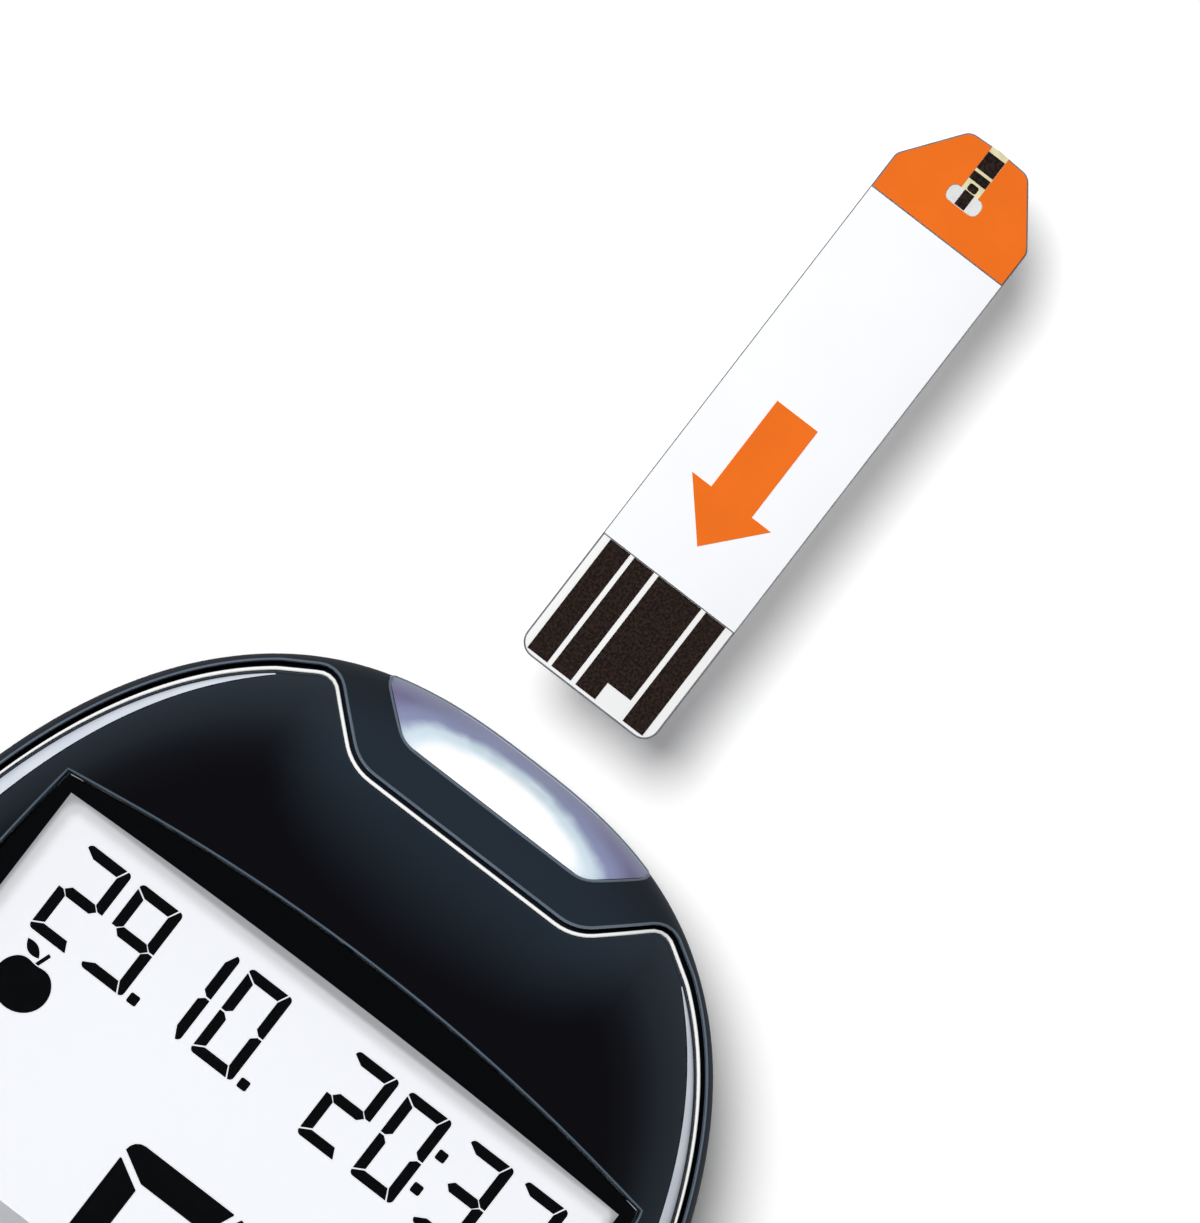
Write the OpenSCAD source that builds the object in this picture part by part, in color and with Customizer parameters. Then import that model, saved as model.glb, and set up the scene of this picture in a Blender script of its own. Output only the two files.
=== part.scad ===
// Hand-held blood glucose meter with a test strip.
// The meter lies on its flat back: +Z is up through the display, +Y points to the strip port.
// The origin is on the back plane, midway between the port end and the foot end.

/* [Body] */
// Length of the meter from the foot end to the port end
body_len = 88; // [86:0.5:106]
// Greatest width of the meter
body_w = 54.2; // [53.5:0.5:66]
// Distance from the port end to the widest line
port_half = 32.9; // [31:0.1:35]
// Fullness of the sides, where 2 is an ellipse and more is squarer
side_power = 2.68; // [2.5:0.01:3.2]
// Wall thickness of the two housing halves
wall = 1.5; // [1.2:0.1:1.8]
// Height of the joint line between the housing halves
split_z = 10; // [8.5:0.1:11]
// How far the flat back lies inside the outline
back_inset = 5.5; // [4.5:0.1:6]
// Height over which the back edge is rounded
back_round_h = 7.5; // [6:0.1:8]
// Height over which the front edge is rounded
crown_h = 8; // [7:0.1:8.5]
// Width over which the front rounds down to the sides
crown_side = 5.5; // [5:0.1:6]
// Width over which the front rounds down to the port end
crown_port = 7.5; // [6.5:0.1:8]
// Width over which the front rounds down to the foot end
crown_foot = 8; // [7:0.1:10]

/* [Face panel] */
// Thickness of the glossy face panel
panel_t = 2; // [1.8:0.1:2.4]
// Thickness of the housing deck under the panel
deck_t = 1.2; // [1:0.1:1.4]
// Distance from the outline to the panel edge at the sides
panel_side = 1.2; // [1:0.05:1.6]
// Distance from the outline to the panel edge at the port end
panel_port = 0.8; // [0.7:0.05:1.2]
// Distance from the port end to the straight edge of the notch
notch_depth = 6.68; // [6.2:0.01:7.2]
// Half the width of the notch along its straight edge
notch_half = 8.2; // [7.6:0.1:9]
// Half the distance between the two shoulders beside the notch
shoulder_half = 12.3; // [12:0.1:13]
// Radius at the foot of the notch
notch_r = 3.7; // [2:0.1:4]
// Radius of the shoulders
shoulder_r = 1.1; // [0.6:0.1:1.4]
// Width of the bright trim round the panel
trim_w = 0.28; // [0.2:0.02:0.4]
// Width of the shadow gap between the trim and the housing
trim_gap = 0.3; // [0.2:0.05:0.4]
// How far the trim stands above the panel
trim_proud = 0.12; // [0.05:0.01:0.2]
// Greatest width of the silver side inlays
inlay_w = 0.9; // [0.5:0.05:1.1]
// Depth of the silver side inlays
inlay_t = 0.7; // [0.4:0.05:1]

/* [Display] */
// Distance from the port end to the top edge of the visible display
view_top = 17.74; // [17:0.02:19]
// Visible width of the display
view_w = 40.4; // [38:0.2:40.6]
// Visible height of the display
view_h = 33; // [30:0.5:34]
// Rise of the arched top edge of the visible display
view_arch = 0.42; // [0.2:0.02:0.6]
// Width of the glass beyond the visible area on each side
glass_margin = 0.7; // [0.5:0.05:0.8]
// Thickness of the liquid crystal glass
glass_t = 1.7; // [1.4:0.1:1.9]
// Thickness of the backlight panel
backlight_t = 1.2; // [0.9:0.1:1.5]
// Air gap between the glass and the panel above it
glass_gap = 1.05; // [0.9:0.05:1.4]
// Thickness of the clear display window
window_t = 0.6; // [0.5:0.05:0.7]
// Thickness of the black printed mask under the window
mask_t = 0.1; // [0.08:0.01:0.15]
// Thickness of the panel ledge that carries the window
ledge_t = 0.3; // [0.3:0.05:0.4]
// Half the width of the window at its top corners
window_top_half = 21; // [20.8:0.1:21.2]
// Half the width of the window at its bottom corners
window_foot_half = 20.9; // [20.6:0.1:21.2]
// Bulge of the window sides
window_bulge = 1.1; // [0.8:0.1:1.2]
// Rise of the window's arched top edge
window_arch = 1.85; // [1.6:0.05:2.2]
// Height of a digit in the upper row
digit_h = 6.1; // [5:0.1:6.5]
// Height of a digit in the reading
reading_h = 14.6; // [12:0.1:15]

/* [Buttons] */
// Distance from the foot end to the centre of the buttons
button_foot = 21.5; // [20.5:0.5:23]
// Radius of the round power button
power_r = 5.6; // [5:0.1:6]
// Inner radius of the curved side buttons
side_button_in = 7.9; // [7.7:0.1:8.3]
// Outer radius of the curved side buttons
side_button_out = 12.9; // [12.4:0.1:13.2]
// Half the angle that a side button covers
side_button_angle = 42; // [36:1:44]
// How far a button can be pressed
button_travel = 0.6; // [0.4:0.05:0.65]
// How far the buttons stand above the panel
button_proud = 0.6; // [0.4:0.05:0.8]
// Clearance round a button
button_gap = 0.2; // [0.15:0.05:0.3]
// Width of the flange that keeps a button in
button_flange = 0.7; // [0.5:0.05:0.8]

/* [Strip port] */
// Width of the port window along its straight edge
port_flat = 13.2; // [12.4:0.1:14]
// Distance from the port end to the straight edge of the port window
port_depth = 3.51; // [3.2:0.01:3.8]
// Lowest height of the port window
port_low_z = 7.6; // [7:0.1:8]
// Clearance round the port window
port_gap = 0.08; // [0.05:0.01:0.15]
// Clearance beside the strip in its slot
slot_side = 0.3; // [0.2:0.05:0.4]
// Height of the strip slot
slot_h = 1.2; // [1:0.05:1.4]
// How deep the strip goes in
insert_depth = 8.4; // [7.5:0.1:9]
// Distance of the strip from the port when it is out
strip_out = 4.9; // [3:0.1:8]

/* [Test strip] */
// Width of the strip
strip_w = 9.8; // [8:0.1:11.8]
// Length of the strip
strip_len = 40.6; // [36:0.1:44]
// Thickness of the strip's base
base_t = 0.35; // [0.3:0.01:0.45]
// Thickness of the carbon tracks
track_t = 0.05; // [0.04:0.01:0.08]
// Thickness of the cover films
film_t = 0.15; // [0.1:0.01:0.2]
// Length of the bare contact end
contact_len = 8.4; // [7:0.1:9]
// Length of the coloured sampling tip
tip_len = 6.2; // [5.5:0.1:7]

/* [Batteries] */
// Diameter of a cell
cell_d = 10.4; // [10:0.1:10.5]
// Length of a cell with its cap
cell_len = 44.5; // [43.5:0.1:44.5]
// Distance between the centres of the two cells
cell_pitch = 11.6; // [11.2:0.1:12]
// Length of a fitted contact spring
spring_len = 3.2; // [2.5:0.1:4]
// Distance from the foot end to the battery bay
bay_foot = 14; // [13.5:0.1:15]
// Thickness of the battery door
door_t = 1.4; // [1.2:0.05:1.5]
// How far the door is set in from the back plane
door_recess = 0.2; // [0.15:0.05:0.3]
// Clearance round the door
door_gap = 0.2; // [0.15:0.05:0.3]
// Half the width of the door
door_half = 12.5; // [12.5:0.1:13]
// Height of the door's end where it wraps the foot
door_end_h = 7.4; // [6.5:0.1:7.6]

/* [Board and screws] */
// Thickness of the main board
board_t = 1; // [0.8:0.1:1.2]
// Distance from the outline to the board
board_inset = 5.2; // [4.8:0.1:6]
// Thickness of the roof between the cells and the board
roof_t = 1; // [0.8:0.1:1.2]
// Radius of a case screw's thread
screw_r = 0.95; // [0.8:0.05:1.1]
// Radius of a case screw's head
screw_head_r = 1.8; // [1.6:0.05:1.9]

/* [Hidden] */

$fn = 48;
outline_n = 48;
layer_n = 5;
eps = 0.01;
far = 100;

// Places along the meter
port_y = body_len / 2;
foot_y = -body_len / 2;
widest_y = port_y - port_half;
foot_half = body_len - port_half;
button_y = foot_y + button_foot;

// Heights, from the door up to the face
fit_gap = 0.2;
cell_gap = 0.3;
trim_share = 0.8;
door_top = door_recess + door_t;
cell_r = cell_d / 2;
cell_z = door_top + cell_gap + cell_r;
roof_z = cell_z + cell_r + fit_gap;
board_z = roof_z + roof_t;
board_top = board_z + board_t;
stack_gap = 0.05;
backlight_z = board_top + stack_gap;
glass_z = backlight_z + backlight_t + stack_gap;
glass_top = glass_z + glass_t;
seat_z = glass_top + glass_gap;
deck_z = seat_z - deck_t;
top_z = seat_z + panel_t;
crown_z = top_z - crown_h;
mask_z = seat_z + ledge_t;
window_z = mask_z + mask_t;
window_top = window_z + window_t;
strip_thick = base_t + track_t + film_t;
strip_drop = 2.2;
strip_z = board_z - strip_drop;

// Battery bay
plate_t = 0.4;
bay_y0 = foot_y + bay_foot;
bay_len = cell_len + spring_len + 2 * plate_t;
bay_y1 = bay_y0 + bay_len;
bay_half = cell_pitch / 2 + cell_r + cell_gap;
bay_wall = 1.2;
bay_sink = 0.3;
bay_outer = door_half + bay_wall + bay_sink;
cap_len = 0.9;
cap_r = 1.9;

// Door tongues
tongue_len = 7;
tongue_w = 0.8;
tongue_z = 1;
tongue_root = 0.5;
tongue_first = 11;
tongue_step = 15;
tongue_places = [for (i = [0:2]) bay_y0 + tongue_first + tongue_step * i];
door_travel = 10;
door_over = 0.5;
door_wrap = 1;

// Screws
screw_clear = 0.05;
boss_r = 2.3;
head_z = 0.35;
head_h = 1.3;
screw_past = 0.8;
screw_end_gap = 0.4;
screw_tip_z = board_top + screw_past;
screw_port = [13.4, 13];
screw_side = [10.3, 18];
screw_places = [
    for (s = [1, -1]) [s * screw_port.x, port_y - screw_port.y],
    for (s = [1, -1]) [s * (body_w / 2 - screw_side.x), bay_y0 + screw_side.y]
];

// Switches
switch_w = 4.6;
switch_h = 1.15;
plunger_r = 1;
flange_z = board_top + switch_h + button_travel + fit_gap;
flange_gap = 0.25;
stem_len = 0.55;
flange_top = deck_z - flange_gap;
plunger_top = flange_z - stem_len;
button_bevel = [0.3, 0.4];
side_switch_x = (side_button_in + side_button_out) / 2;

// Display places
view_y = port_y - view_top;
view_half = view_w / 2;
view_foot = view_y - view_h;
glass_half = view_half + glass_margin;
arch_margin = 0.4;
glass_y1 = view_y + view_arch + arch_margin;
glass_y0 = view_foot - glass_margin;
frame_wall = 0.5;
frame_gap = 0.1;
window_port_border = 0.85;
window_foot_border = 1.3;
lcd_gap = 0.8;
window_y1 = view_y + window_port_border;
window_y0 = view_foot - window_foot_border;

// Signs on the display: each digit with its left edge, and the marks
row_drop = 1.7;
reading_drop = 13.8;
ink_t = 0.08;
row_digits = [[2, -17.5], [9, -13.7], [1, -9.5], [0, -5.6], [2, 2.3], [0, 6.2], [3, 10.8], [7, 14.8]];
row_points = [-10.3, -2.15];
colon_x = 9.6;
colon_lifts = [1.3, 3.7];
dot_w = 0.65;
reading_digits = [[9, -4.95], [8, 6]];
fruit_place = [-15.7, -10.7];
fruit_r = 1.75;

// Strip port places
connector_depth = 17;
connector_wall = 1.6;
connector_y0 = port_y - connector_depth;
connector_y1 = port_y - port_depth - fit_gap;
connector_half = strip_w / 2 + connector_wall;
seat_y = port_y - insert_depth;
strip_y = port_y + strip_out;
mouth_len = 1.1;
spring_gap = 0.14;

// Strip layout, as shares of its width from the left edge
track_spans = [[0.06, 0.21], [0.242, 0.39], [0.425, 0.75], [0.785, 0.935]];
track_edge = 0.3;
track_notch = [0.575, 1.24];
arrow_y = 11.15;
channel_w = 1.25;
channel_len = 4.7;
vent_end = 3.75;
vent_y = strip_len - vent_end;

// ---- Outlines ----

function unit(v) = v / norm(v);

// The meter's outline, drawn in from the sides, the port end and the foot end
function outline(side, port, foot) = [
    for (k = [0:outline_n - 1])
        let (t = 360 * k / outline_n, s = sin(t), c = cos(t))
        [(body_w / 2 - side) * sign(s) * pow(abs(s), 2 / side_power),
         widest_y + (c >= 0 ? port_half - port : foot_half - foot) * c]
];

// Where that outline crosses a given x on the port side
function outline_y(side, port, x) =
    widest_y + (port_half - port) * sqrt(1 - pow(x / (body_w / 2 - side), side_power));

// The arc that rounds corner p between its neighbours a and b
function corner(a, p, b, r, steps = 6) =
    r <= 0 ? [p] :
    let (u = unit(a - p), w = unit(b - p), half = acos(u * w) / 2,
         c = p + unit(u + w) * r / sin(half), s = p + u * r / tan(half) - c,
         turn = sign(cross(p - a, b - p)) * (180 - 2 * half), start = atan2(s.y, s.x))
    [for (i = [0:steps]) c + r * [cos(start + turn * i / steps), sin(start + turn * i / steps)]];

// A closed path of [x, y, radius] corners
function rounded(path) =
    let (n = len(path))
    [for (i = [0:n - 1])
        let (a = path[(i + n - 1) % n], p = path[i], b = path[(i + 1) % n])
        each corner([a.x, a.y], [p.x, p.y], [b.x, b.y], p[2])];

// Points from a to b on a shallow arch that rises by h to the left of the way
function arch(a, b, h, steps = 10) =
    let (d = b - a, n = unit([-d.y, d.x]))
    [for (i = [0:steps - 1]) let (t = i / steps) a + d * t + n * 4 * h * t * (1 - t)];

function mirrored(path) = [for (i = [len(path) - 1:-1:0]) [-path[i].x, path[i].y]];

// The face panel's edge, grown outwards by e: the notch, the shoulders and the sides
function panel_half_path(e) =
    let (side = panel_side - e, port = panel_port - e, foot = panel_side - e,
         y = port_y - notch_depth + e,
         foot_of_notch = [notch_half - 0.38 * e, y],
         shoulder = [shoulder_half, outline_y(side, port, shoulder_half)],
         next_x = shoulder_half + 3,
         next = [next_x, outline_y(side, port, next_x)])
    concat(corner([0, y], foot_of_notch, shoulder, notch_r - e),
        corner(foot_of_notch, shoulder, next, shoulder_r + e),
        [for (p = outline(side, port, foot)) if (p.x > next_x - 0.2 || (p.x >= 0 && p.y < widest_y)) p]);
function panel_path(e) = concat(panel_half_path(e), mirrored(panel_half_path(e)));

// The display window: arched top and foot, bulging sides
function window_path() =
    let (tl = [-window_top_half, window_y1], tr = [window_top_half, window_y1],
         br = [window_foot_half, window_y0], bl = [-window_foot_half, window_y0])
    concat(arch(tl, tr, window_arch), arch(tr, br, window_bulge),
        arch(br, bl, window_arch / 2), arch(bl, tl, window_bulge));

// The visible display area
function view_path() =
    concat(arch([-view_half, view_y], [view_half, view_y], view_arch),
        [[view_half, view_y], [view_half, view_foot], [-view_half, view_foot]]);

// The port window seen from above, running out past the port end
port_shape = rounded([
    [port_flat / 2, port_y - port_depth, 2], [9.6, port_y - 1.15, 1.6], [13, port_y + 1.2, 0],
    [-13, port_y + 1.2, 0], [-9.6, port_y - 1.15, 1.6], [-port_flat / 2, port_y - port_depth, 2]]);

// ---- Shared forms ----

// A solid skinned over outlines at rising heights, each given as [z, side, port, foot]
module loft(levels) {
    n = outline_n;
    last = len(levels) - 1;
    points = [for (l = levels) each [for (p = outline(l[1], l[2], l[3])) [p.x, p.y, l[0]]]];
    skin = [
        for (i = [0:last - 1], k = [0:n - 1])
            let (a = i * n + k, b = i * n + (k + 1) % n)
            each [[a, b, a + n], [b, b + n, a + n]]
    ];
    floor_face = [for (k = [n - 1:-1:0]) k];
    roof_face = [for (k = [0:n - 1]) last * n + k];
    polyhedron(points, concat([floor_face], skin, [roof_face]));
}

// Levels of the rounded back, drawn in by g all round
function back_levels(g = 0) = [
    for (k = [0:layer_n])
        let (a = 90 * k / layer_n, i = g + back_inset * (1 - sin(a)))
        [g + back_round_h * (1 - cos(a)), i, i, i]
];

// Levels of the domed front, drawn in by g at the sides and by drop at the top
function front_levels(g = 0, drop = 0) = [
    for (k = [0:layer_n])
        let (a = 90 * k / layer_n, q = 1 - cos(a))
        [crown_z + (crown_h - drop) * sin(a), g + crown_side * q, g + crown_port * q, g + crown_foot * q]
];

module back_form(g = 0, height = split_z) {
    loft(concat(back_levels(g), [[height, g, g, g]]));
}

module front_form(g = 0, drop = 0, low = split_z) {
    loft(concat([[low, g, g, g]], front_levels(g, drop)));
}

module whole_form() {
    loft(concat(back_levels(), front_levels()));
}

module column(z0, z1) {
    translate([0, 0, z0]) linear_extrude(z1 - z0) children();
}

module block(x0, x1, y0, y1, z0, z1) {
    translate([x0, y0, z0]) cube([x1 - x0, y1 - y0, z1 - z0]);
}

module pin(x, y, r, z0, z1) {
    translate([x, y, z0]) cylinder(r = r, h = z1 - z0);
}

module side_button_shape(grow) {
    difference() {
        circle(r = side_button_out + grow, $fn = 96);
        circle(r = side_button_in - grow, $fn = 96);
        rotate(side_button_angle) translate([-far, grow]) square([2 * far, far]);
        rotate(-side_button_angle) translate([-far, -far - grow]) square([2 * far, far]);
        translate([-far, -far]) square([far, 2 * far]);
    }
}

// The three button outlines, grown by a clearance
module button_shapes(grow) {
    translate([0, button_y]) {
        circle(r = power_r + grow);
        side_button_shape(grow);
        mirror([1, 0]) side_button_shape(grow);
    }
}

// ---- Housing ----

module door_zone(g) {
    block(-door_half - g, door_half + g, foot_y - far, bay_y1 + door_over + g, -far, door_top + g);
    block(-door_half - g, door_half + g, foot_y - far, bay_y0 - bay_wall - door_wrap + g, -far, door_end_h + g);
}

module door_tongues(g) {
    for (y = tongue_places, s = [-1, 1])
        translate([s * (door_half - tongue_root), y, tongue_z - g])
            translate([s > 0 ? 0 : -tongue_w - tongue_root - g, -g, 0])
                cube([tongue_w + tongue_root + g, tongue_len + 2 * g, door_top - tongue_z + 2 * g]);
}

// The grooves that the tongues slide along, open as far as the door travels
module door_grooves() {
    y0 = tongue_places[0] - door_travel - 1;
    y1 = tongue_places[2] + tongue_len + door_gap;
    half = door_half + tongue_w + door_gap;
    block(-half, half, y0, y1, tongue_z - door_gap, door_top + door_gap);
}

module port_pocket() {
    column(port_low_z - port_gap, far) offset(delta = port_gap) polygon(port_shape);
}

module screw_holes() {
    for (p = screw_places) {
        pin(p.x, p.y, screw_r + screw_clear, -1, screw_tip_z + screw_end_gap);
        pin(p.x, p.y, screw_head_r + fit_gap, -1, head_z + head_h);
    }
}

module rear_case() {
    color([0.13, 0.16, 0.2]) difference() {
        union() {
            difference() {
                back_form();
                back_form(wall, split_z + 1);
            }
            block(-bay_outer, bay_outer, bay_y0 - bay_wall, bay_y1 + bay_wall, wall - bay_sink, board_z);
            for (p = screw_places) pin(p.x, p.y, boss_r, wall - bay_sink, split_z);
        }
        block(-bay_half, bay_half, bay_y0, bay_y1, -1, roof_z);
        door_zone(door_gap);
        door_grooves();
        screw_holes();
        port_pocket();
    }
}

module front_case() {
    color([0.15, 0.18, 0.22]) difference() {
        union() {
            difference() {
                front_form();
                front_form(wall, panel_t + deck_t, split_z - 1);
            }
            for (p = screw_places) pin(p.x, p.y, boss_r, split_z, deck_z + fit_gap);
        }
        difference() {
            column(crown_z - 2, far) polygon(panel_path(trim_w + trim_gap));
            front_form(0, panel_t);
        }
        column(board_z, far)
            translate([-glass_half - lcd_gap, glass_y0 - lcd_gap])
                square([2 * (glass_half + lcd_gap), glass_y1 - glass_y0 + 2 * lcd_gap]);
        column(deck_z - 1, far) button_shapes(button_gap);
        port_pocket();
        screw_holes();
    }
}

// ---- Face ----

module face_panel() {
    color([0.06, 0.06, 0.07]) difference() {
        intersection() {
            column(crown_z - 2, far) polygon(panel_path(0));
            front_form();
        }
        front_form(0, panel_t - stack_gap / 2);
        column(mask_z, far) polygon(window_path());
        column(seat_z - 1, far) offset(delta = 0.25) polygon(view_path());
        column(seat_z - 1, far) button_shapes(button_gap);
        side_inlays(0);
    }
}

module face_trim() {
    color([0.95, 0.96, 0.98]) difference() {
        intersection() {
            column(crown_z - 2, far) polygon(panel_path(trim_w));
            translate([0, 0, trim_proud]) front_form();
        }
        front_form(0, trim_share * panel_t);
        column(crown_z - 3, far) polygon(panel_path(0));
    }
}

// Crescents let into the panel's sides, wide at the middle and running out to points
module side_inlays(which) {
    intersection() {
        difference() {
            column(crown_z - 1, far)
                polygon(outline(panel_side + 0.12, panel_port + 0.12, panel_side + 0.12));
            column(crown_z - 2, far)
                polygon(outline(panel_side + 0.12 + inlay_w, panel_port - 1.1, panel_side - 3));
        }
        difference() {
            front_form();
            front_form(0, inlay_t);
        }
        if (which == 0) block(-far, far, foot_y + 16, port_y - 4.6, 0, far);
        if (which != 0) block(which > 0 ? 12 : -far, which > 0 ? far : -12, foot_y + 16, port_y - 4.6, 0, far);
    }
}

module side_inlay_left() {
    color([0.84, 0.86, 0.92]) side_inlays(-1);
}

module side_inlay_right() {
    color([0.84, 0.86, 0.92]) side_inlays(1);
}

module display_window() {
    color([0.85, 0.9, 0.95, 0.4]) column(window_z, window_top) offset(delta = -0.1) polygon(window_path());
}

module window_mask() {
    color([0.02, 0.02, 0.02]) column(mask_z, window_z) difference() {
        offset(delta = -0.1) polygon(window_path());
        polygon(view_path());
    }
}

// ---- Display module ----

module lcd_glass() {
    color([0.95, 0.97, 1]) block(-glass_half, glass_half, glass_y0, glass_y1, glass_z, glass_top);
}

// Segments of one digit, in a cell w wide and h high whose lower left corner is the origin
module segments(lit, w, h, s) {
    g = 0.12 * s;
    m = h / 2;
    shapes = [
        [[g, h], [w - g, h], [w - s - g, h - s], [s + g, h - s]],
        [[w, h - g], [w, m + g], [w - s / 2, m + g / 2], [w - s, m + s / 2], [w - s, h - s - g]],
        [[w, m - g], [w, g], [w - s, s + g], [w - s, m - s / 2], [w - s / 2, m - g / 2]],
        [[g, 0], [s + g, s], [w - s - g, s], [w - g, 0]],
        [[0, m - g], [s / 2, m - g / 2], [s, m - s / 2], [s, s + g], [0, g]],
        [[0, h - g], [s, h - s - g], [s, m + s / 2], [s / 2, m + g / 2], [0, m + g]],
        [[s / 2 + g, m], [s + g, m + s / 2], [w - s - g, m + s / 2],
         [w - s / 2 - g, m], [w - s - g, m - s / 2], [s + g, m - s / 2]]
    ];
    for (i = lit) polygon(shapes[i]);
}

digit_codes = [[0, 1, 2, 3, 4, 5], [1, 2], [0, 1, 6, 4, 3], [0, 1, 6, 2, 3], [5, 6, 1, 2], [0, 5, 6, 2, 3],
    [0, 5, 4, 3, 2, 6], [0, 1, 2], [0, 1, 2, 3, 4, 5, 6], [0, 1, 2, 3, 5, 6]];

module digit(value, x, y, w, h, s) {
    translate([x, y]) segments(digit_codes[value], w, h, s);
}

module dot(x, y, d) {
    translate([x, y]) square(d);
}

// Date and time above, a round fruit mark and the reading below
module lcd_digits() {
    row_w = 0.51 * digit_h;
    row_s = 0.11 * digit_h;
    row_y = view_y - row_drop - digit_h;
    reading_w = 0.6 * reading_h;
    reading_s = 0.133 * reading_h;
    reading_y = view_y - reading_drop - reading_h;
    color([0.05, 0.05, 0.05]) column(glass_top, glass_top + ink_t) {
        for (d = row_digits) digit(d[0], d[1], row_y, row_w, digit_h, row_s);
        for (x = row_points) dot(x, row_y, dot_w);
        for (y = colon_lifts) dot(colon_x, row_y + y, dot_w);
        for (d = reading_digits) digit(d[0], d[1], reading_y, reading_w, reading_h, reading_s);
        translate([fruit_place.x, view_y + fruit_place.y]) circle(r = fruit_r);
    }
}

module frame_shape(g) {
    translate([-glass_half - g, glass_y0 - g])
        square([2 * (glass_half + g), glass_y1 - glass_y0 + 2 * g]);
}

module lcd_frame() {
    color([0.2, 0.2, 0.22]) column(board_top, glass_top - 0.4) difference() {
        frame_shape(frame_gap + frame_wall);
        frame_shape(frame_gap);
    }
}

module backlight_panel() {
    color([0.9, 0.95, 1])
        block(-glass_half + 0.1, glass_half - 0.1, glass_y0 + 2.6, glass_y1 - 0.1, backlight_z, glass_z - stack_gap);
}

module lcd_connector() {
    color([0.85, 0.45, 0.55])
        block(-glass_half + 1, glass_half - 1, glass_y0 + 0.3, glass_y0 + 2.2, board_top, glass_z);
}

// ---- Electronics ----

module main_board() {
    color([0.1, 0.4, 0.2]) column(board_z, board_top) difference() {
        polygon(outline(board_inset, board_inset - 0.8, board_inset + 1.5));
        for (p = screw_places) translate(p) circle(r = boss_r + fit_gap);
    }
}

module chip(x, y, w, d, h, leg) {
    block(x - w / 2, x + w / 2, y - d / 2, y + d / 2, board_top + 0.1, board_top + 0.1 + h);
    for (i = [-2:2], s = [-1, 1])
        block(x + i * w / 6 - 0.15, x + i * w / 6 + 0.15, y + s * d / 2 - (s < 0 ? leg : 0),
            y + s * d / 2 + (s > 0 ? leg : 0), board_top, board_top + 0.1 + h / 2);
}

module processor() {
    color([0.12, 0.12, 0.13]) chip(-5.2, port_y - 11.6, 7, 6, 1.2, 0.6);
}

module memory_chip() {
    color([0.15, 0.15, 0.16]) chip(4.4, port_y - 11.9, 5, 4, 1.1, 0.6);
}

module quartz_crystal() {
    color([0.8, 0.8, 0.78])
        hull() for (s = [-1, 1]) pin(4.4 + s * 1.6, port_y - 7.4, 0.9, board_top, board_top + 1.1);
}

module capacitors() {
    color([0.75, 0.6, 0.35]) {
        for (i = [0:2]) pin(bay_outer + 3.4, bay_y0 + 24 + 5.6 * i, 2, board_z - 3.2, board_z);
        for (i = [0:3]) block(-bay_outer - 4.6, -bay_outer - 3, bay_y0 + 21.6 + 2.2 * i,
            bay_y0 + 22.5 + 2.2 * i, board_z - 0.8, board_z);
    }
}

module buzzer() {
    color([0.1, 0.1, 0.1]) difference() {
        pin(-bay_outer - 4.9, bay_y0 + 36, 4.2, board_z - 3, board_z);
        pin(-bay_outer - 4.9, bay_y0 + 36, 0.8, board_z - 4, board_z - 2);
    }
}

// ---- Strip port ----

// The window's slot flares out at its mouth to guide the strip
module port_window() {
    h = slot_h / 2;
    flare_y = port_y - mouth_len;
    color([0.93, 0.93, 1, 0.8]) difference() {
        intersection() {
            column(port_low_z, far) polygon(port_shape);
            whole_form();
        }
        translate([0, 0, strip_z + strip_thick / 2]) rotate([90, 0, 90])
            linear_extrude(strip_w + 2 * slot_side, center = true)
                polygon([[foot_y, -h], [flare_y, -h], [port_y + mouth_len, -h - mouth_len],
                    [port_y + mouth_len, h + mouth_len], [flare_y, h], [foot_y, h]]);
    }
}

module port_leds() {
    color([0.95, 0.95, 0.8])
        for (s = [-1, 1]) block(s * 4.5 - 0.9, s * 4.5 + 0.9, port_y - 6, port_y - 5, board_top, board_top + 0.8);
}

module strip_connector() {
    color([0.12, 0.12, 0.12]) difference() {
        block(-connector_half, connector_half, connector_y0, connector_y1, strip_z - 1.6, board_z);
        block(-strip_w / 2 - slot_side, strip_w / 2 + slot_side, seat_y - slot_side, port_y,
            strip_z + (strip_thick - slot_h) / 2, strip_z + (strip_thick + slot_h) / 2);
        for (f = track_spans)
            block(((f[0] + f[1]) / 2 - 0.5) * strip_w - 0.6, ((f[0] + f[1]) / 2 - 0.5) * strip_w + 0.6,
                connector_y0 + 2, connector_y1 + 1, strip_z + strip_thick, board_z - 0.4);
    }
}

// Bent springs that press on the strip's tracks
module connector_springs() {
    low = strip_z + base_t + track_t + spring_gap;
    y0 = connector_y0 + 2;
    color([0.85, 0.7, 0.3])
        for (f = track_spans)
            translate([((f[0] + f[1]) / 2 - 0.5) * strip_w - 0.4, 0, 0])
                rotate([90, 0, 90]) linear_extrude(0.8) polygon([
                    [y0, board_z - 0.7], [y0, board_z - 0.4], [y0 + 2.5, board_z - 0.4],
                    [seat_y + 1.6, low + 0.25], [seat_y + 3.4, low + 0.9], [seat_y + 3.5, low + 0.65],
                    [seat_y + 1.6, low], [y0 + 2.4, board_z - 0.7]]);
}

// ---- Buttons ----

// A key from its shaft, its stepped top and its flange, with a stem over the switch at x
module button(x) {
    top = top_z + button_proud;
    step = top - button_bevel.y;
    translate([0, button_y]) {
        column(flange_top - eps, step) children(0);
        column(step - eps, top) children(1);
        column(flange_z, flange_top) children(2);
    }
    pin(x, button_y, plunger_r, plunger_top, flange_z + eps);
}

module power_button() {
    color([0.75, 0.78, 0.82]) button(0) {
        circle(r = power_r);
        circle(r = power_r - button_bevel.x);
        circle(r = power_r + button_flange);
    }
}

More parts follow.
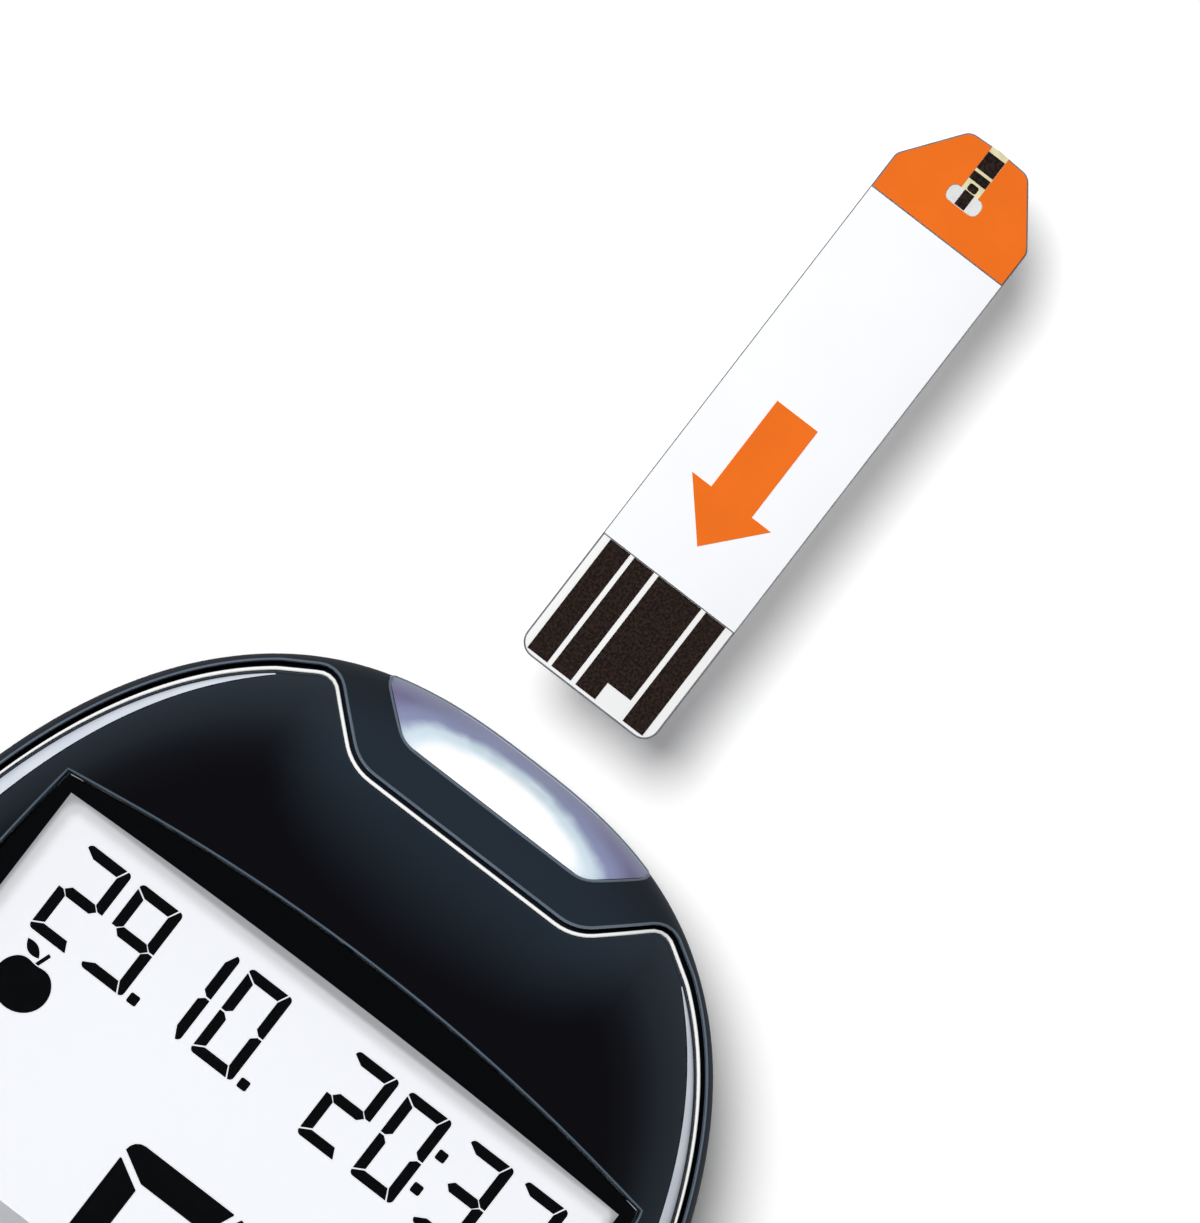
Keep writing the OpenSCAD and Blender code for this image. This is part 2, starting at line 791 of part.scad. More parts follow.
module side_button(x) {
    button(x) {
        side_button_shape(0);
        side_button_shape(-button_bevel.x);
        side_button_shape(button_flange);
    }
}

module left_button() {
    color([0.75, 0.78, 0.82]) mirror([1, 0, 0]) side_button(side_switch_x);
}

module right_button() {
    color([0.75, 0.78, 0.82]) side_button(side_switch_x);
}

module switch_housings() {
    color([0.2, 0.2, 0.22])
        for (x = [-side_switch_x, 0, side_switch_x]) difference() {
            block(x - switch_w / 2, x + switch_w / 2, button_y - switch_w / 2, button_y + switch_w / 2,
                board_top, board_top + switch_h);
            pin(x, button_y, plunger_r + fit_gap, board_top + stack_gap, board_top + 2);
        }
}

module plunger(x) {
    color([0.9, 0.6, 0.2]) pin(x, button_y, plunger_r, board_top + button_travel + fit_gap, plunger_top);
}

module power_plunger() {
    plunger(0);
}

module left_plunger() {
    plunger(-side_switch_x);
}

module right_plunger() {
    plunger(side_switch_x);
}

// ---- Batteries ----

module battery_door() {
    grips = 5;
    color([0.13, 0.16, 0.2]) {
        difference() {
            intersection() {
                translate([0, 0, door_recess]) back_form();
                door_zone(0);
            }
            translate([0, 0, door_recess + door_t - wall]) back_form(wall, split_z + 1);
            for (i = [0:grips - 1])
                block(-6, 6, bay_y1 - 8 + 1.5 * i, bay_y1 - 7.3 + 1.5 * i, -1, door_recess + 0.5);
        }
        door_tongues(0);
    }
}

module cell(x, way) {
    y_mid = way > 0 ? bay_y0 + plate_t + spring_len + cell_len / 2 : bay_y1 - plate_t - spring_len - cell_len / 2;
    translate([x, y_mid, cell_z]) rotate([-90 * way, 0, 0]) translate([0, 0, -cell_len / 2]) {
        cylinder(r = cell_r, h = cell_len - cap_len);
        cylinder(r = cap_r, h = cell_len);
    }
}

module battery_left() {
    color([0.2, 0.3, 0.45]) cell(-cell_pitch / 2, 1);
}

module battery_right() {
    color([0.2, 0.3, 0.45]) cell(cell_pitch / 2, -1);
}

// A conical contact spring swept along its helix from the plate to the cell
module spring(turns = 3.25, wire = 0.3) {
    sides = 6;
    rings = 14 * turns;
    function centre(i) =
        let (t = i / rings, a = 360 * turns * t, r = 3.6 - 1.4 * t)
        [r * cos(a), r * sin(a), wire + (spring_len - 2 * wire) * t];
    function ring(i) =
        let (a = 360 * turns * i / rings)
        [for (k = [0:sides - 1]) let (b = 360 * k / sides)
            centre(i) + wire * (cos(b) * [cos(a), sin(a), 0] + sin(b) * [0, 0, 1])];
    points = [for (i = [0:rings]) each ring(i)];
    last = floor(rings) * sides;
    sides_faces = [for (i = [0:floor(rings) - 1], k = [0:sides - 1])
        let (a = i * sides + k, b = i * sides + (k + 1) % sides)
        [a, b, b + sides, a + sides]];
    polyhedron(points, concat([[for (k = [sides - 1:-1:0]) k]], sides_faces, [[for (k = [0:sides - 1]) last + k]]));
}

module battery_springs() {
    color([0.8, 0.8, 0.78]) {
        translate([-cell_pitch / 2, bay_y0 + plate_t, cell_z]) rotate([-90, 0, 0]) spring();
        translate([cell_pitch / 2, bay_y1 - plate_t, cell_z]) rotate([90, 0, 0]) spring();
    }
}

module battery_plates() {
    half = 4.4;
    color([0.8, 0.8, 0.78]) {
        block(-cell_pitch / 2 - half, cell_pitch / 2 + half, bay_y0, bay_y0 + plate_t, cell_z - half, cell_z + half);
        for (s = [-1, 1])
            block(s * cell_pitch / 2 - half, s * cell_pitch / 2 + half, bay_y1 - plate_t, bay_y1,
                cell_z - half, cell_z + half);
    }
}

module case_screws() {
    color([0.6, 0.6, 0.62])
        for (p = screw_places) difference() {
            union() {
                pin(p.x, p.y, screw_head_r, head_z, head_z + head_h);
                pin(p.x, p.y, screw_r, head_z, screw_tip_z);
            }
            for (a = [0, 90]) translate([p.x, p.y, head_z]) rotate(a) cube([2, 0.5, 1.2], center = true);
        }
}

// ---- Test strip, at rest in front of the port ----

module strip_place(z) {
    translate([0, strip_y, strip_z + z]) children();
}

function strip_half(share) = (share - 0.5) * strip_w;

module strip_shape() {
    w = strip_w / 2;
    polygon(rounded([[-w, 0, 1], [w, 0, 1], [w, strip_len - 3.8, 0.8], [2.2, strip_len, 0.9],
        [-2.2, strip_len, 0.9], [-w, strip_len - 3.8, 0.8]]));
}

module strip_base() {
    color([0.97, 0.97, 0.95]) strip_place(0) linear_extrude(base_t) strip_shape();
}

module strip_tracks() {
    color([0.11, 0.09, 0.08]) strip_place(base_t) linear_extrude(track_t) difference() {
        for (f = track_spans)
            translate([strip_half(f[0]), track_edge])
                square([(f[1] - f[0]) * strip_w, contact_len - track_edge]);
        translate([strip_half(track_notch[0]), track_edge - 1])
            square([(track_spans[2][1] - track_notch[0]) * strip_w, track_notch[1] + 1]);
    }
}

module strip_cover() {
    color([0.97, 0.98, 1]) strip_place(base_t) linear_extrude(film_t) intersection() {
        strip_shape();
        translate([-strip_w, contact_len]) square([2 * strip_w, strip_len - tip_len - contact_len]);
    }
}

module vent_shape() {
    for (s = [[2.3, 1.2], [1.2, 2.1]])
        translate([-s.x / 2, vent_y - s.y / 2]) square(s);
}

module strip_tip() {
    color([0.95, 0.45, 0.12]) strip_place(base_t) linear_extrude(film_t) difference() {
        intersection() {
            strip_shape();
            translate([-strip_w, strip_len - tip_len]) square([2 * strip_w, tip_len]);
        }
        translate([-channel_w / 2, strip_len - channel_len]) square([channel_w, channel_len + 1]);
        vent_shape();
    }
}

module strip_channel() {
    color([0.9, 0.85, 0.65]) strip_place(base_t) linear_extrude(film_t / 2)
        intersection() {
            strip_shape();
            translate([-channel_w / 2, strip_len - channel_len]) square([channel_w, channel_len]);
        }
}

module strip_arrow() {
    color([0.95, 0.45, 0.12]) strip_place(base_t + film_t) linear_extrude(track_t)
        polygon([[0, arrow_y], [2.94, arrow_y + 3.32], [1.51, arrow_y + 3.32], [1.51, arrow_y + 9.72],
            [-1.51, arrow_y + 9.72], [-1.51, arrow_y + 3.32], [-2.94, arrow_y + 3.32]]);
}

rear_case();
front_case();
face_panel();
face_trim();
side_inlay_left();
side_inlay_right();
display_window();
window_mask();
lcd_glass();
lcd_digits();
lcd_frame();
backlight_panel();
lcd_connector();
main_board();
processor();
memory_chip();
quartz_crystal();
capacitors();
buzzer();
port_window();
port_leds();
strip_connector();
connector_springs();
power_button();
left_button();
right_button();
switch_housings();
power_plunger();
left_plunger();
right_plunger();
battery_door();
battery_left();
battery_right();
battery_springs();
battery_plates();
case_screws();
strip_base();
strip_tracks();
strip_cover();
strip_tip();
strip_channel();
strip_arrow();
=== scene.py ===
"""Looks of a hand-held blood glucose meter and its test strip.

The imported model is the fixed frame. Each sub-assembly here is a class whose fields
are sizes in millimetres. It builds its meshes in millimetres, in the frame's own
axes: +Z rises through the display and +Y points to the strip port.
"""
import logging
import math
from dataclasses import dataclass
from enum import Enum
from typing import Callable, Sequence

import bmesh
import bpy
import numpy as np
from mathutils import Matrix, Vector


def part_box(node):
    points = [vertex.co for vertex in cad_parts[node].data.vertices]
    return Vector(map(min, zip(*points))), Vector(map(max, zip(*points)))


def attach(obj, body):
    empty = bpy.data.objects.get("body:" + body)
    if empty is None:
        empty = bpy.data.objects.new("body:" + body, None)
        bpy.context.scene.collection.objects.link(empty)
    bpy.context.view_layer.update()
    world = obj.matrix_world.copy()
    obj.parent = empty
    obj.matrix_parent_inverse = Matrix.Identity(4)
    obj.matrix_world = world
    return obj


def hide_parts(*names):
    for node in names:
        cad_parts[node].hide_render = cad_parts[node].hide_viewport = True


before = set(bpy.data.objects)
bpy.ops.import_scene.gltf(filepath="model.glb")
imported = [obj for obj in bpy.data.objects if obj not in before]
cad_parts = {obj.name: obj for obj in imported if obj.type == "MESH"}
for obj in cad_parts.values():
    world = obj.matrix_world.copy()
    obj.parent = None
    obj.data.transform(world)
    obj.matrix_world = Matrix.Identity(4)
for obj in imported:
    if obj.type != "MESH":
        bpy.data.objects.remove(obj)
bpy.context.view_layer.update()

# Metres in a millimetre.
MM = 0.001
# In millimetres: a height past everything, how far a cutter runs past what it cuts,
# how near two points are welded, and how near they count as one.
FAR = 100.0
PAST = 1.0
WELD = 1e-3
TINY = 1e-4
# The values between which nearly all of a noise lies.
NOISE_RANGE = (0.3, 0.7)
UP = Vector((0, 0, 1))
LOG = logging.getLogger("meter")

Path = list[Vector]
Height = Callable[[float, float], float]
Colour = tuple[float, float, float]


class Body(Enum):
    """The moving bodies of the frame."""

    HOUSING = "housing"
    POWER_KEY = "power_key"
    LEFT_KEY = "left_key"
    RIGHT_KEY = "right_key"
    DOOR = "door"
    STRIP = "test_strip"


class Cut(Enum):
    """How one solid is combined with another."""

    TAKE = "DIFFERENCE"
    KEEP = "INTERSECT"
    JOIN = "UNION"


# ---- Plane curves ----


def linear(share: float) -> float:
    """The linear value of a screen value from 0 to 1, by the sRGB curve."""
    return share / 12.92 if share <= 0.04045 else ((share + 0.055) / 1.055) ** 2.4


def tone(red: int, green: int, blue: int) -> Colour:
    """The linear colour of a screen colour given as 0 to 255."""
    return linear(red / 255), linear(green / 255), linear(blue / 255)


def span(node: str) -> tuple[float, float]:
    """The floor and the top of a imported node, in millimetres."""
    low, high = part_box(node)
    return low.z / MM, high.z / MM


def flat(x: float, y: float) -> Vector:
    """A point of the plane."""
    return Vector((x, y))


def arc(centre: Vector, radius: float, start: float, end: float, steps: int) -> Path:
    """Points along an arc.

    Args:
        centre: Centre of the arc.
        radius: Radius of the arc.
        start: Angle of the first point, in degrees.
        end: Angle of the last point, in degrees.
        steps: Number of equal steps.

    Returns:
        The points from start to end, both included.
    """
    angles = [math.radians(start + (end - start) * i / steps) for i in range(steps + 1)]
    return [centre + radius * flat(math.cos(a), math.sin(a)) for a in angles]


def corner(before: Vector, point: Vector, after: Vector, radius: float, steps: int = 8) -> Path:
    """The arc that rounds a corner between its two neighbours.

    Args:
        before: The corner's neighbour on the way in.
        point: The sharp corner.
        after: The corner's neighbour on the way out.
        radius: Radius of the rounding, or 0 for a sharp corner.
        steps: Number of steps along the arc.

    Returns:
        The points of the arc, or the corner itself.
    """
    if radius <= 0:
        return [point]
    to_before, to_after = (before - point).normalized(), (after - point).normalized()
    half = math.acos(max(-1.0, min(1.0, to_before.dot(to_after)))) / 2
    centre = point + (to_before + to_after).normalized() * radius / math.sin(half)
    first = point + to_before * radius / math.tan(half) - centre
    turn = math.copysign(math.pi - 2 * half, (point - before).cross(after - point))
    start = math.atan2(first.y, first.x)
    return [centre + radius * flat(math.cos(a), math.sin(a)) for a in
            (start + turn * i / steps for i in range(steps + 1))]


def rounded(corners: Sequence[tuple[float, float, float]], steps: int = 8) -> Path:
    """A closed path with rounded corners.

    Args:
        corners: The corners as x, y and radius.
        steps: Number of steps along each rounded corner.

    Returns:
        The points of the path.
    """
    points = [flat(x, y) for x, y, _ in corners]
    path: Path = []
    for i, (_, _, radius) in enumerate(corners):
        path += corner(points[i - 1], points[i], points[(i + 1) % len(points)], radius, steps)
    return path


def arch(start: Vector, end: Vector, rise: float, steps: int = 24) -> Path:
    """Points from start up to, but without, end on an arch that rises to the left of the way."""
    way = end - start
    left = flat(-way.y, way.x).normalized()
    return [start + way * t + left * 4 * rise * t * (1 - t) for t in (i / steps for i in range(steps))]


def turning(path: Path) -> float:
    """Twice the signed area of a closed path, above 0 where it runs anticlockwise."""
    return sum(path[i - 1].x * p.y - p.x * path[i - 1].y for i, p in enumerate(path))


def outwards(path: Path) -> Path:
    """The normals of a closed path, which point out of it.

    They are unit vectors, made longer at a corner so that a step along them stays as
    far from both sides. A sharp corner makes them no longer than 2.5.

    Args:
        path: The points of the path.

    Returns:
        One normal for each point.
    """
    side = 1.0 if turning(path) > 0 else -1.0
    least_bend = 0.4
    normals: Path = []
    for i, point in enumerate(path):
        way_in = (point - path[i - 1]).normalized()
        way_out = (path[(i + 1) % len(path)] - point).normalized()
        way = (way_in + way_out).normalized()
        bend = max(least_bend, way.dot(way_out) if way_out.length > 0 else way.dot(way_in))
        normals.append(flat(way.y, -way.x) * side / bend)
    return normals


def grown(path: Path, by: float) -> Path:
    """A closed path with each point moved outwards along its normal."""
    return [p + n * by for p, n in zip(path, outwards(path))]


def resampled(path: Path, step: float) -> Path:
    """A closed path with its points about one step apart.

    Args:
        path: The points of the closed path.
        step: The wanted distance between neighbours.

    Returns:
        The new points, evenly spaced along the path.
    """
    loop = path + [path[0]]
    along = np.concatenate([[0.0], np.cumsum([(b - a).length for a, b in zip(loop, loop[1:])])])
    fewest = 8
    count = max(fewest, round(along[-1] / step))
    places = np.linspace(0, along[-1], count, endpoint=False)
    xs = np.interp(places, along, [p.x for p in loop])
    ys = np.interp(places, along, [p.y for p in loop])
    return [flat(float(x), float(y)) for x, y in zip(xs, ys)]


def lifted(path: Path, height: float | Height) -> list[Vector]:
    """The points of a flat path in space, at one height or on a surface."""
    return [Vector((p.x, p.y, height(p.x, p.y) if callable(height) else height)) for p in path]


# ---- Solids ----


def ring(bm: bmesh.types.BMesh, points: Sequence[Vector]) -> tuple[list, list]:
    """A closed loop of vertices and edges.

    Args:
        bm: The mesh that the loop is added to.
        points: The places of its vertices.

    Returns:
        The vertices and the edges, in order.
    """
    verts = [bm.verts.new(p) for p in points]
    return verts, [bm.edges.new((v, verts[(i + 1) % len(verts)])) for i, v in enumerate(verts)]


def next_ring(bm: bmesh.types.BMesh, verts: list, edges: list, points: Sequence[Vector]) -> tuple[list, list]:
    """Extrudes a loop into a new one.

    Args:
        bm: The mesh.
        verts: The loop's vertices, in order.
        edges: The loop's edges, in order.
        points: Where the new loop's vertices go.

    Returns:
        The new vertices and edges, in order.
    """
    made = bmesh.ops.extrude_edge_only(bm, edges=edges)["geom"]
    index = {v: i for i, v in enumerate(verts)}
    fresh: list = [None] * len(verts)
    for vert in (g for g in made if isinstance(g, bmesh.types.BMVert)):
        source = next(index[e.other_vert(vert)] for e in vert.link_edges if e.other_vert(vert) in index)
        fresh[source] = vert
        vert.co = points[source]
    return fresh, [bm.edges.get((v, fresh[(i + 1) % len(fresh)])) for i, v in enumerate(fresh)]


def loft(rings: Sequence[Sequence[Vector]], closed: bool = False) -> bmesh.types.BMesh:
    """A solid skinned over loops.

    Args:
        rings: The loops, each with as many points.
        closed: Whether the last loop joins the first, in place of two end faces.

    Returns:
        The new mesh.
    """
    bm = bmesh.new()
    verts, edges = ring(bm, rings[0])
    first = list(edges)
    if not closed:
        bmesh.ops.contextual_create(bm, geom=edges)
    for points in rings[1:]:
        verts, edges = next_ring(bm, verts, edges, points)
    if closed:
        bmesh.ops.bridge_loops(bm, edges=first + edges)
    else:
        bmesh.ops.contextual_create(bm, geom=edges)
    bmesh.ops.recalc_face_normals(bm, faces=bm.faces)
    return bm


def column(path: Path, low: float, high: float, edge: float = 0.0, steps: int = 3) -> bmesh.types.BMesh:
    """A plate or a column with rounded top and bottom edges.

    Args:
        path: Its closed outline.
        low: Height of its floor.
        high: Height of its top.
        edge: Radius of its edges.
        steps: Steps along each rounded edge.

    Returns:
        The new mesh.
    """
    if edge <= 0:
        return loft([lifted(path, low), lifted(path, high)])
    bends = [math.pi / 2 * i / steps for i in range(steps + 1)]
    levels = [(edge * (1 - math.sin(a)), low + edge * (1 - math.cos(a))) for a in bends]
    levels += [(edge * (1 - math.cos(a)), high - edge * (1 - math.sin(a))) for a in bends]
    return loft([lifted(grown(path, -inset), z) for inset, z in levels])


def tube(points: Sequence[Vector], radius: float | Height, closed: bool, lean: Vector = UP,
         sides: int = 10) -> bmesh.types.BMesh:
    """A bead along a line in space.

    Args:
        points: The points of its middle line.
        radius: Its radius, the same all along or by the place on the plan.
        closed: Whether the last point joins the first.
        lean: A direction that never runs along the line, which sets the section's upright.
        sides: Number of sides of the section.

    Returns:
        The new mesh.
    """
    count = len(points)
    rings = []
    for i, point in enumerate(points):
        before = points[i - 1] if closed or i > 0 else point
        after = points[(i + 1) % count] if closed or i < count - 1 else point
        way = (after - before).normalized()
        side = way.cross(lean).normalized()
        upright = side.cross(way)
        turns = [2 * math.pi * k / sides for k in range(sides)]
        reach = radius(point.x, point.y) if callable(radius) else radius
        rings.append([point + reach * (math.cos(a) * side + math.sin(a) * upright) for a in turns])
    return loft(rings, closed)


def block(low: Sequence[float], high: Sequence[float], edge: float = 0.0) -> bmesh.types.BMesh:
    """A block between two corners.

    Args:
        low: Its lowest corner.
        high: Its highest corner.
        edge: Radius of its edges, or 0 for sharp ones.

    Returns:
        The new mesh.
    """
    bm = bmesh.new()
    size = Vector(high) - Vector(low)
    bmesh.ops.create_cube(bm, size=1.0)
    bmesh.ops.scale(bm, vec=size, verts=bm.verts)
    bmesh.ops.translate(bm, vec=Vector(low) + size / 2, verts=bm.verts)
    if edge > 0:
        bmesh.ops.bevel(bm, geom=bm.edges, offset=edge, segments=3, profile=0.5, affect="EDGES", material=-1)
    return bm


def pin(x: float, y: float, radius: float, low: float, high: float, sides: int = 48) -> bmesh.types.BMesh:
    """An upright cylinder between two heights."""
    return column(arc(flat(x, y), radius, 0, 360 - 360 / sides, sides - 1), low, high)


def joined(*parts: bmesh.types.BMesh) -> bmesh.types.BMesh:
    """One mesh that holds several closed shells."""
    whole = bmesh.new()
    for part in parts:
        data = bpy.data.meshes.new("part")
        part.to_mesh(data)
        whole.from_mesh(data)
        bpy.data.meshes.remove(data)
        part.free()
    return whole


def combined(base: bmesh.types.BMesh, tool: bmesh.types.BMesh, how: Cut) -> bmesh.types.BMesh:
    """Cuts, keeps or joins one solid by another with an exact boolean.

    Args:
        base: The solid that is changed.
        tool: The solid that changes it.
        how: The kind of combination.

    Returns:
        The new solid. Both inputs are freed.
    """
    objects = []
    for name, bm in (("base", base), ("tool", tool)):
        data = bpy.data.meshes.new(name)
        bm.to_mesh(data)
        bm.free()
        thing = bpy.data.objects.new(name, data)
        bpy.context.scene.collection.objects.link(thing)
        objects.append(thing)
    cut = objects[0].modifiers.new("cut", "BOOLEAN")
    cut.operation, cut.object, cut.solver = how.value, objects[1], "EXACT"
    cut.use_self = False
    graph = bpy.context.evaluated_depsgraph_get()
    made = bpy.data.meshes.new_from_object(objects[0].evaluated_get(graph))
    result = bmesh.new()
    result.from_mesh(made)
    bpy.data.meshes.remove(made)
    bmesh.ops.remove_doubles(result, verts=result.verts, dist=WELD)
    bmesh.ops.dissolve_degenerate(result, edges=result.edges, dist=WELD)
    bmesh.ops.holes_fill(result, edges=[e for e in result.edges if e.is_boundary], sides=0)
    for thing in objects:
        data = thing.data
        bpy.data.objects.remove(thing)
        bpy.data.meshes.remove(data)
    return result


def filled(outer: Path, holes: Sequence[Path] = ()) -> bmesh.types.BMesh:
    """A flat sheet inside one closed path and outside others."""
    bm = bmesh.new()
    edges = [edge for path in (outer, *holes) for edge in ring(bm, lifted(path, 0.0))[1]]
    bmesh.ops.triangle_fill(bm, use_beauty=True, use_dissolve=False, edges=edges, normal=UP)
    return bm


def gridded(bm: bmesh.types.BMesh, step: float) -> None:
    """Cuts a flat sheet along the lines of a square grid, which is set off so that it misses the corners."""
    offset = 0.37
    for axis in (0, 1):
        places = [v.co[axis] for v in bm.verts]
        low, high = math.ceil(min(places) / step + WELD), math.floor(max(places) / step - WELD)
        normal = Vector((axis == 0, axis == 1, 0))
        for k in range(low, high + 1):
            bmesh.ops.bisect_plane(bm, geom=bm.verts[:] + bm.edges[:] + bm.faces[:], dist=TINY / 10,
                                   plane_co=normal * (k + offset) * step, plane_no=normal)


def plate(outer: Path, holes: Sequence[Path], low: float | Height, high: float | Height,
          step: float = 0.0) -> bmesh.types.BMesh:
    """A plate with holes between two heights or surfaces.

    Args:
        outer: Its outline.
        holes: The outlines of its holes.
        low: Height of its floor.
        high: Height of its top.
        step: Size of the grid that a curved plate is cut into, or 0 for none.

    Returns:
        The new mesh.
    """
    bm = filled(outer, holes)
    if step > 0:
        gridded(bm, step)
    made = bmesh.ops.extrude_face_region(bm, geom=bm.faces[:])["geom"]
    tops = {g for g in made if isinstance(g, bmesh.types.BMVert)}
    for vert in bm.verts:
        height = high if vert in tops else low
        vert.co.z = height(vert.co.x, vert.co.y) if callable(height) else height
    bmesh.ops.recalc_face_normals(bm, faces=bm.faces)
    return bm


def rims(bm: bmesh.types.BMesh) -> list[list]:
    """The open loops of a sheet, each as its vertices in order, the longest first."""
    links: dict = {}
    for edge in (e for e in bm.edges if e.is_boundary):
        for vert in edge.verts:
            links.setdefault(vert, []).append(edge.other_vert(vert))
    loops, seen = [], set()
    for start in links:
        if start in seen:
            continue
        loop, here, before = [], start, None
        while here not in seen:
            seen.add(here)
            loop.append(here)
            onward = [v for v in links[here] if v is not before and v not in seen]
            before, here = here, onward[0] if onward else start
        loops.append(loop)
    return sorted(loops, key=len, reverse=True)


def edged(bm: bmesh.types.BMesh, loop: list, profile: Sequence[tuple[float, float]]) -> None:
    """Turns the edge of a sheet over along a profile.

    Args:
        bm: The sheet.
        loop: The vertices of one open loop, in order.
        profile: How far each step goes away from the sheet and up.
    """
    places = [flat(v.co.x, v.co.y) for v in loop]
    heights = [v.co.z for v in loop]
    normals = outwards(places)
    edges = [bm.edges.get((v, loop[(i + 1) % len(loop)])) for i, v in enumerate(loop)]
    middle = edges[0].link_faces[0].calc_center_median()
    side = -1.0 if normals[0].dot(flat(middle.x, middle.y) - places[0]) > 0 else 1.0
    verts = loop
    for out, up in profile:
        points = [Vector((p.x + n.x * side * out, p.y + n.y * side * out, z + up))
                  for p, n, z in zip(places, normals, heights)]
        verts, edges = next_ring(bm, verts, edges, points)


def quarter(radius: float, depth: float, steps: int = 5) -> list[tuple[float, float]]:
    """A profile that rounds over by a quarter turn and then drops to a depth."""
    bends = [math.pi / 2 * (i + 1) / steps for i in range(steps)]
    return [(radius * math.sin(a), -radius * (1 - math.cos(a))) for a in bends] + [(radius, -depth)]


# ---- Finishes ----


class Nodes:
    """Short ways to build the node tree of a material or of the world."""

    def __init__(self, owner: bpy.types.Material | bpy.types.World) -> None:
        """Finds the owner's shader and adds its coordinates."""
        owner.use_nodes = True
        self.tree = owner.node_tree
        self.shader = next(n for n in self.tree.nodes if n.type in ("BSDF_PRINCIPLED", "BACKGROUND"))
        self.coordinates = self.add("ShaderNodeTexCoord").outputs

    def add(self, kind: str, **settings: object) -> bpy.types.Node:
        """Adds a node and sets its properties."""
        node = self.tree.nodes.new(kind)
        for key, value in settings.items():
            setattr(node, key, value)
        return node

    def link(self, source: bpy.types.NodeSocket, target: bpy.types.NodeSocket) -> None:
        """Joins two sockets."""
        self.tree.links.new(source, target)

    def sum(self, operation: str, *values: bpy.types.NodeSocket | float) -> bpy.types.NodeSocket:
        """The result of an operation on sockets and numbers."""
        node = self.add("ShaderNodeMath", operation=operation)
        for socket, value in zip(node.inputs, values):
            if isinstance(value, bpy.types.NodeSocket):
                self.link(value, socket)
            else:
                socket.default_value = value
        return node.outputs[0]

    def mixed(self, share: bpy.types.NodeSocket, first: bpy.types.NodeSocket,
              second: bpy.types.NodeSocket | Colour) -> bpy.types.NodeSocket:
        """A colour blended from a first to a second one.

        Args:
            share: The share of the second colour.
            first: The first colour.
            second: The second colour, as a socket or as numbers.

        Returns:
            The blended colour's socket.
        """
        node = self.add("ShaderNodeMixRGB")
        self.link(share, node.inputs["Fac"])
        self.link(first, node.inputs[1])
        if isinstance(second, bpy.types.NodeSocket):
            self.link(second, node.inputs[2])
        else:
            node.inputs[2].default_value = (*second, 1)
        return node.outputs["Color"]

    def parts(self, vector: bpy.types.NodeSocket) -> Sequence[bpy.types.NodeSocket]:
        """The three parts of a vector."""
        node = self.add("ShaderNodeSeparateXYZ")
        self.link(vector, node.inputs[0])
        return node.outputs

    def scaled(self, stretch: Sequence[float], centre: Sequence[float] = (0, 0, 0)) -> bpy.types.NodeSocket:
        """Object coordinates moved to a centre in millimetres and stretched."""
        moved = self.add("ShaderNodeVectorMath", operation="SUBTRACT")
        self.link(self.coordinates["Object"], moved.inputs[0])
        moved.inputs[1].default_value = [c * MM for c in centre]
        mapping = self.add("ShaderNodeMapping")
        self.link(moved.outputs[0], mapping.inputs["Vector"])
        mapping.inputs["Scale"].default_value = stretch
        return mapping.outputs[0]

    def noise(self, size: float, detail: float,
              stretch: Sequence[float] = (1, 1, 1)) -> bpy.types.NodeSocket:
        """Noise whose features are about a size in millimetres."""
        node = self.add("ShaderNodeTexNoise")
        self.link(self.scaled(stretch), node.inputs["Vector"])
        node.inputs["Scale"].default_value = 1 / (size * MM)
        node.inputs["Detail"].default_value = detail
        return node.outputs["Fac"]

    def ramp(self, value: bpy.types.NodeSocket, *stops: tuple[float, Colour],
             blend: str = "EASE") -> bpy.types.NodeSocket:
        """A colour for each value, smoothly blended between stops unless another blend is named."""
        node = self.add("ShaderNodeValToRGB")
        node.color_ramp.interpolation = blend
        while len(node.color_ramp.elements) < len(stops):
            node.color_ramp.elements.new(0.5)
        for element, (place, colour) in zip(node.color_ramp.elements, stops):
            element.position = place
            element.color = (*colour, 1)
        self.link(value, node.inputs["Fac"])
        return node.outputs["Color"]

    def spread(self, value: bpy.types.NodeSocket, low: float, high: float, start: float = NOISE_RANGE[0],
               end: float = NOISE_RANGE[1]) -> bpy.types.NodeSocket:
        """Maps a value from start and end, by default those of noise, to low and high."""
        node = self.add("ShaderNodeMapRange")
        self.link(value, node.inputs["Value"])
        for socket, number in zip(("From Min", "From Max", "To Min", "To Max"), (start, end, low, high)):
            node.inputs[socket].default_value = number
        return node.outputs["Result"]

    def relief(self, value: bpy.types.NodeSocket, depth: float) -> None:
        """Bumps the surface by a depth in millimetres."""
        node = self.add("ShaderNodeBump")
        node.inputs["Distance"].default_value = depth * MM
        node.inputs["Strength"].default_value = 1.0
        self.link(value, node.inputs["Height"])
        self.link(node.outputs["Normal"], self.shader.inputs["Normal"])

    def glow(self, colour: bpy.types.NodeSocket, strength: float) -> None:
        """Makes the surface this colour, and lets it shine."""
        self.link(colour, self.shader.inputs["Emission Color"])
        self.link(colour, self.shader.inputs["Base Color"])
        self.shader.inputs["Emission Strength"].default_value = strength


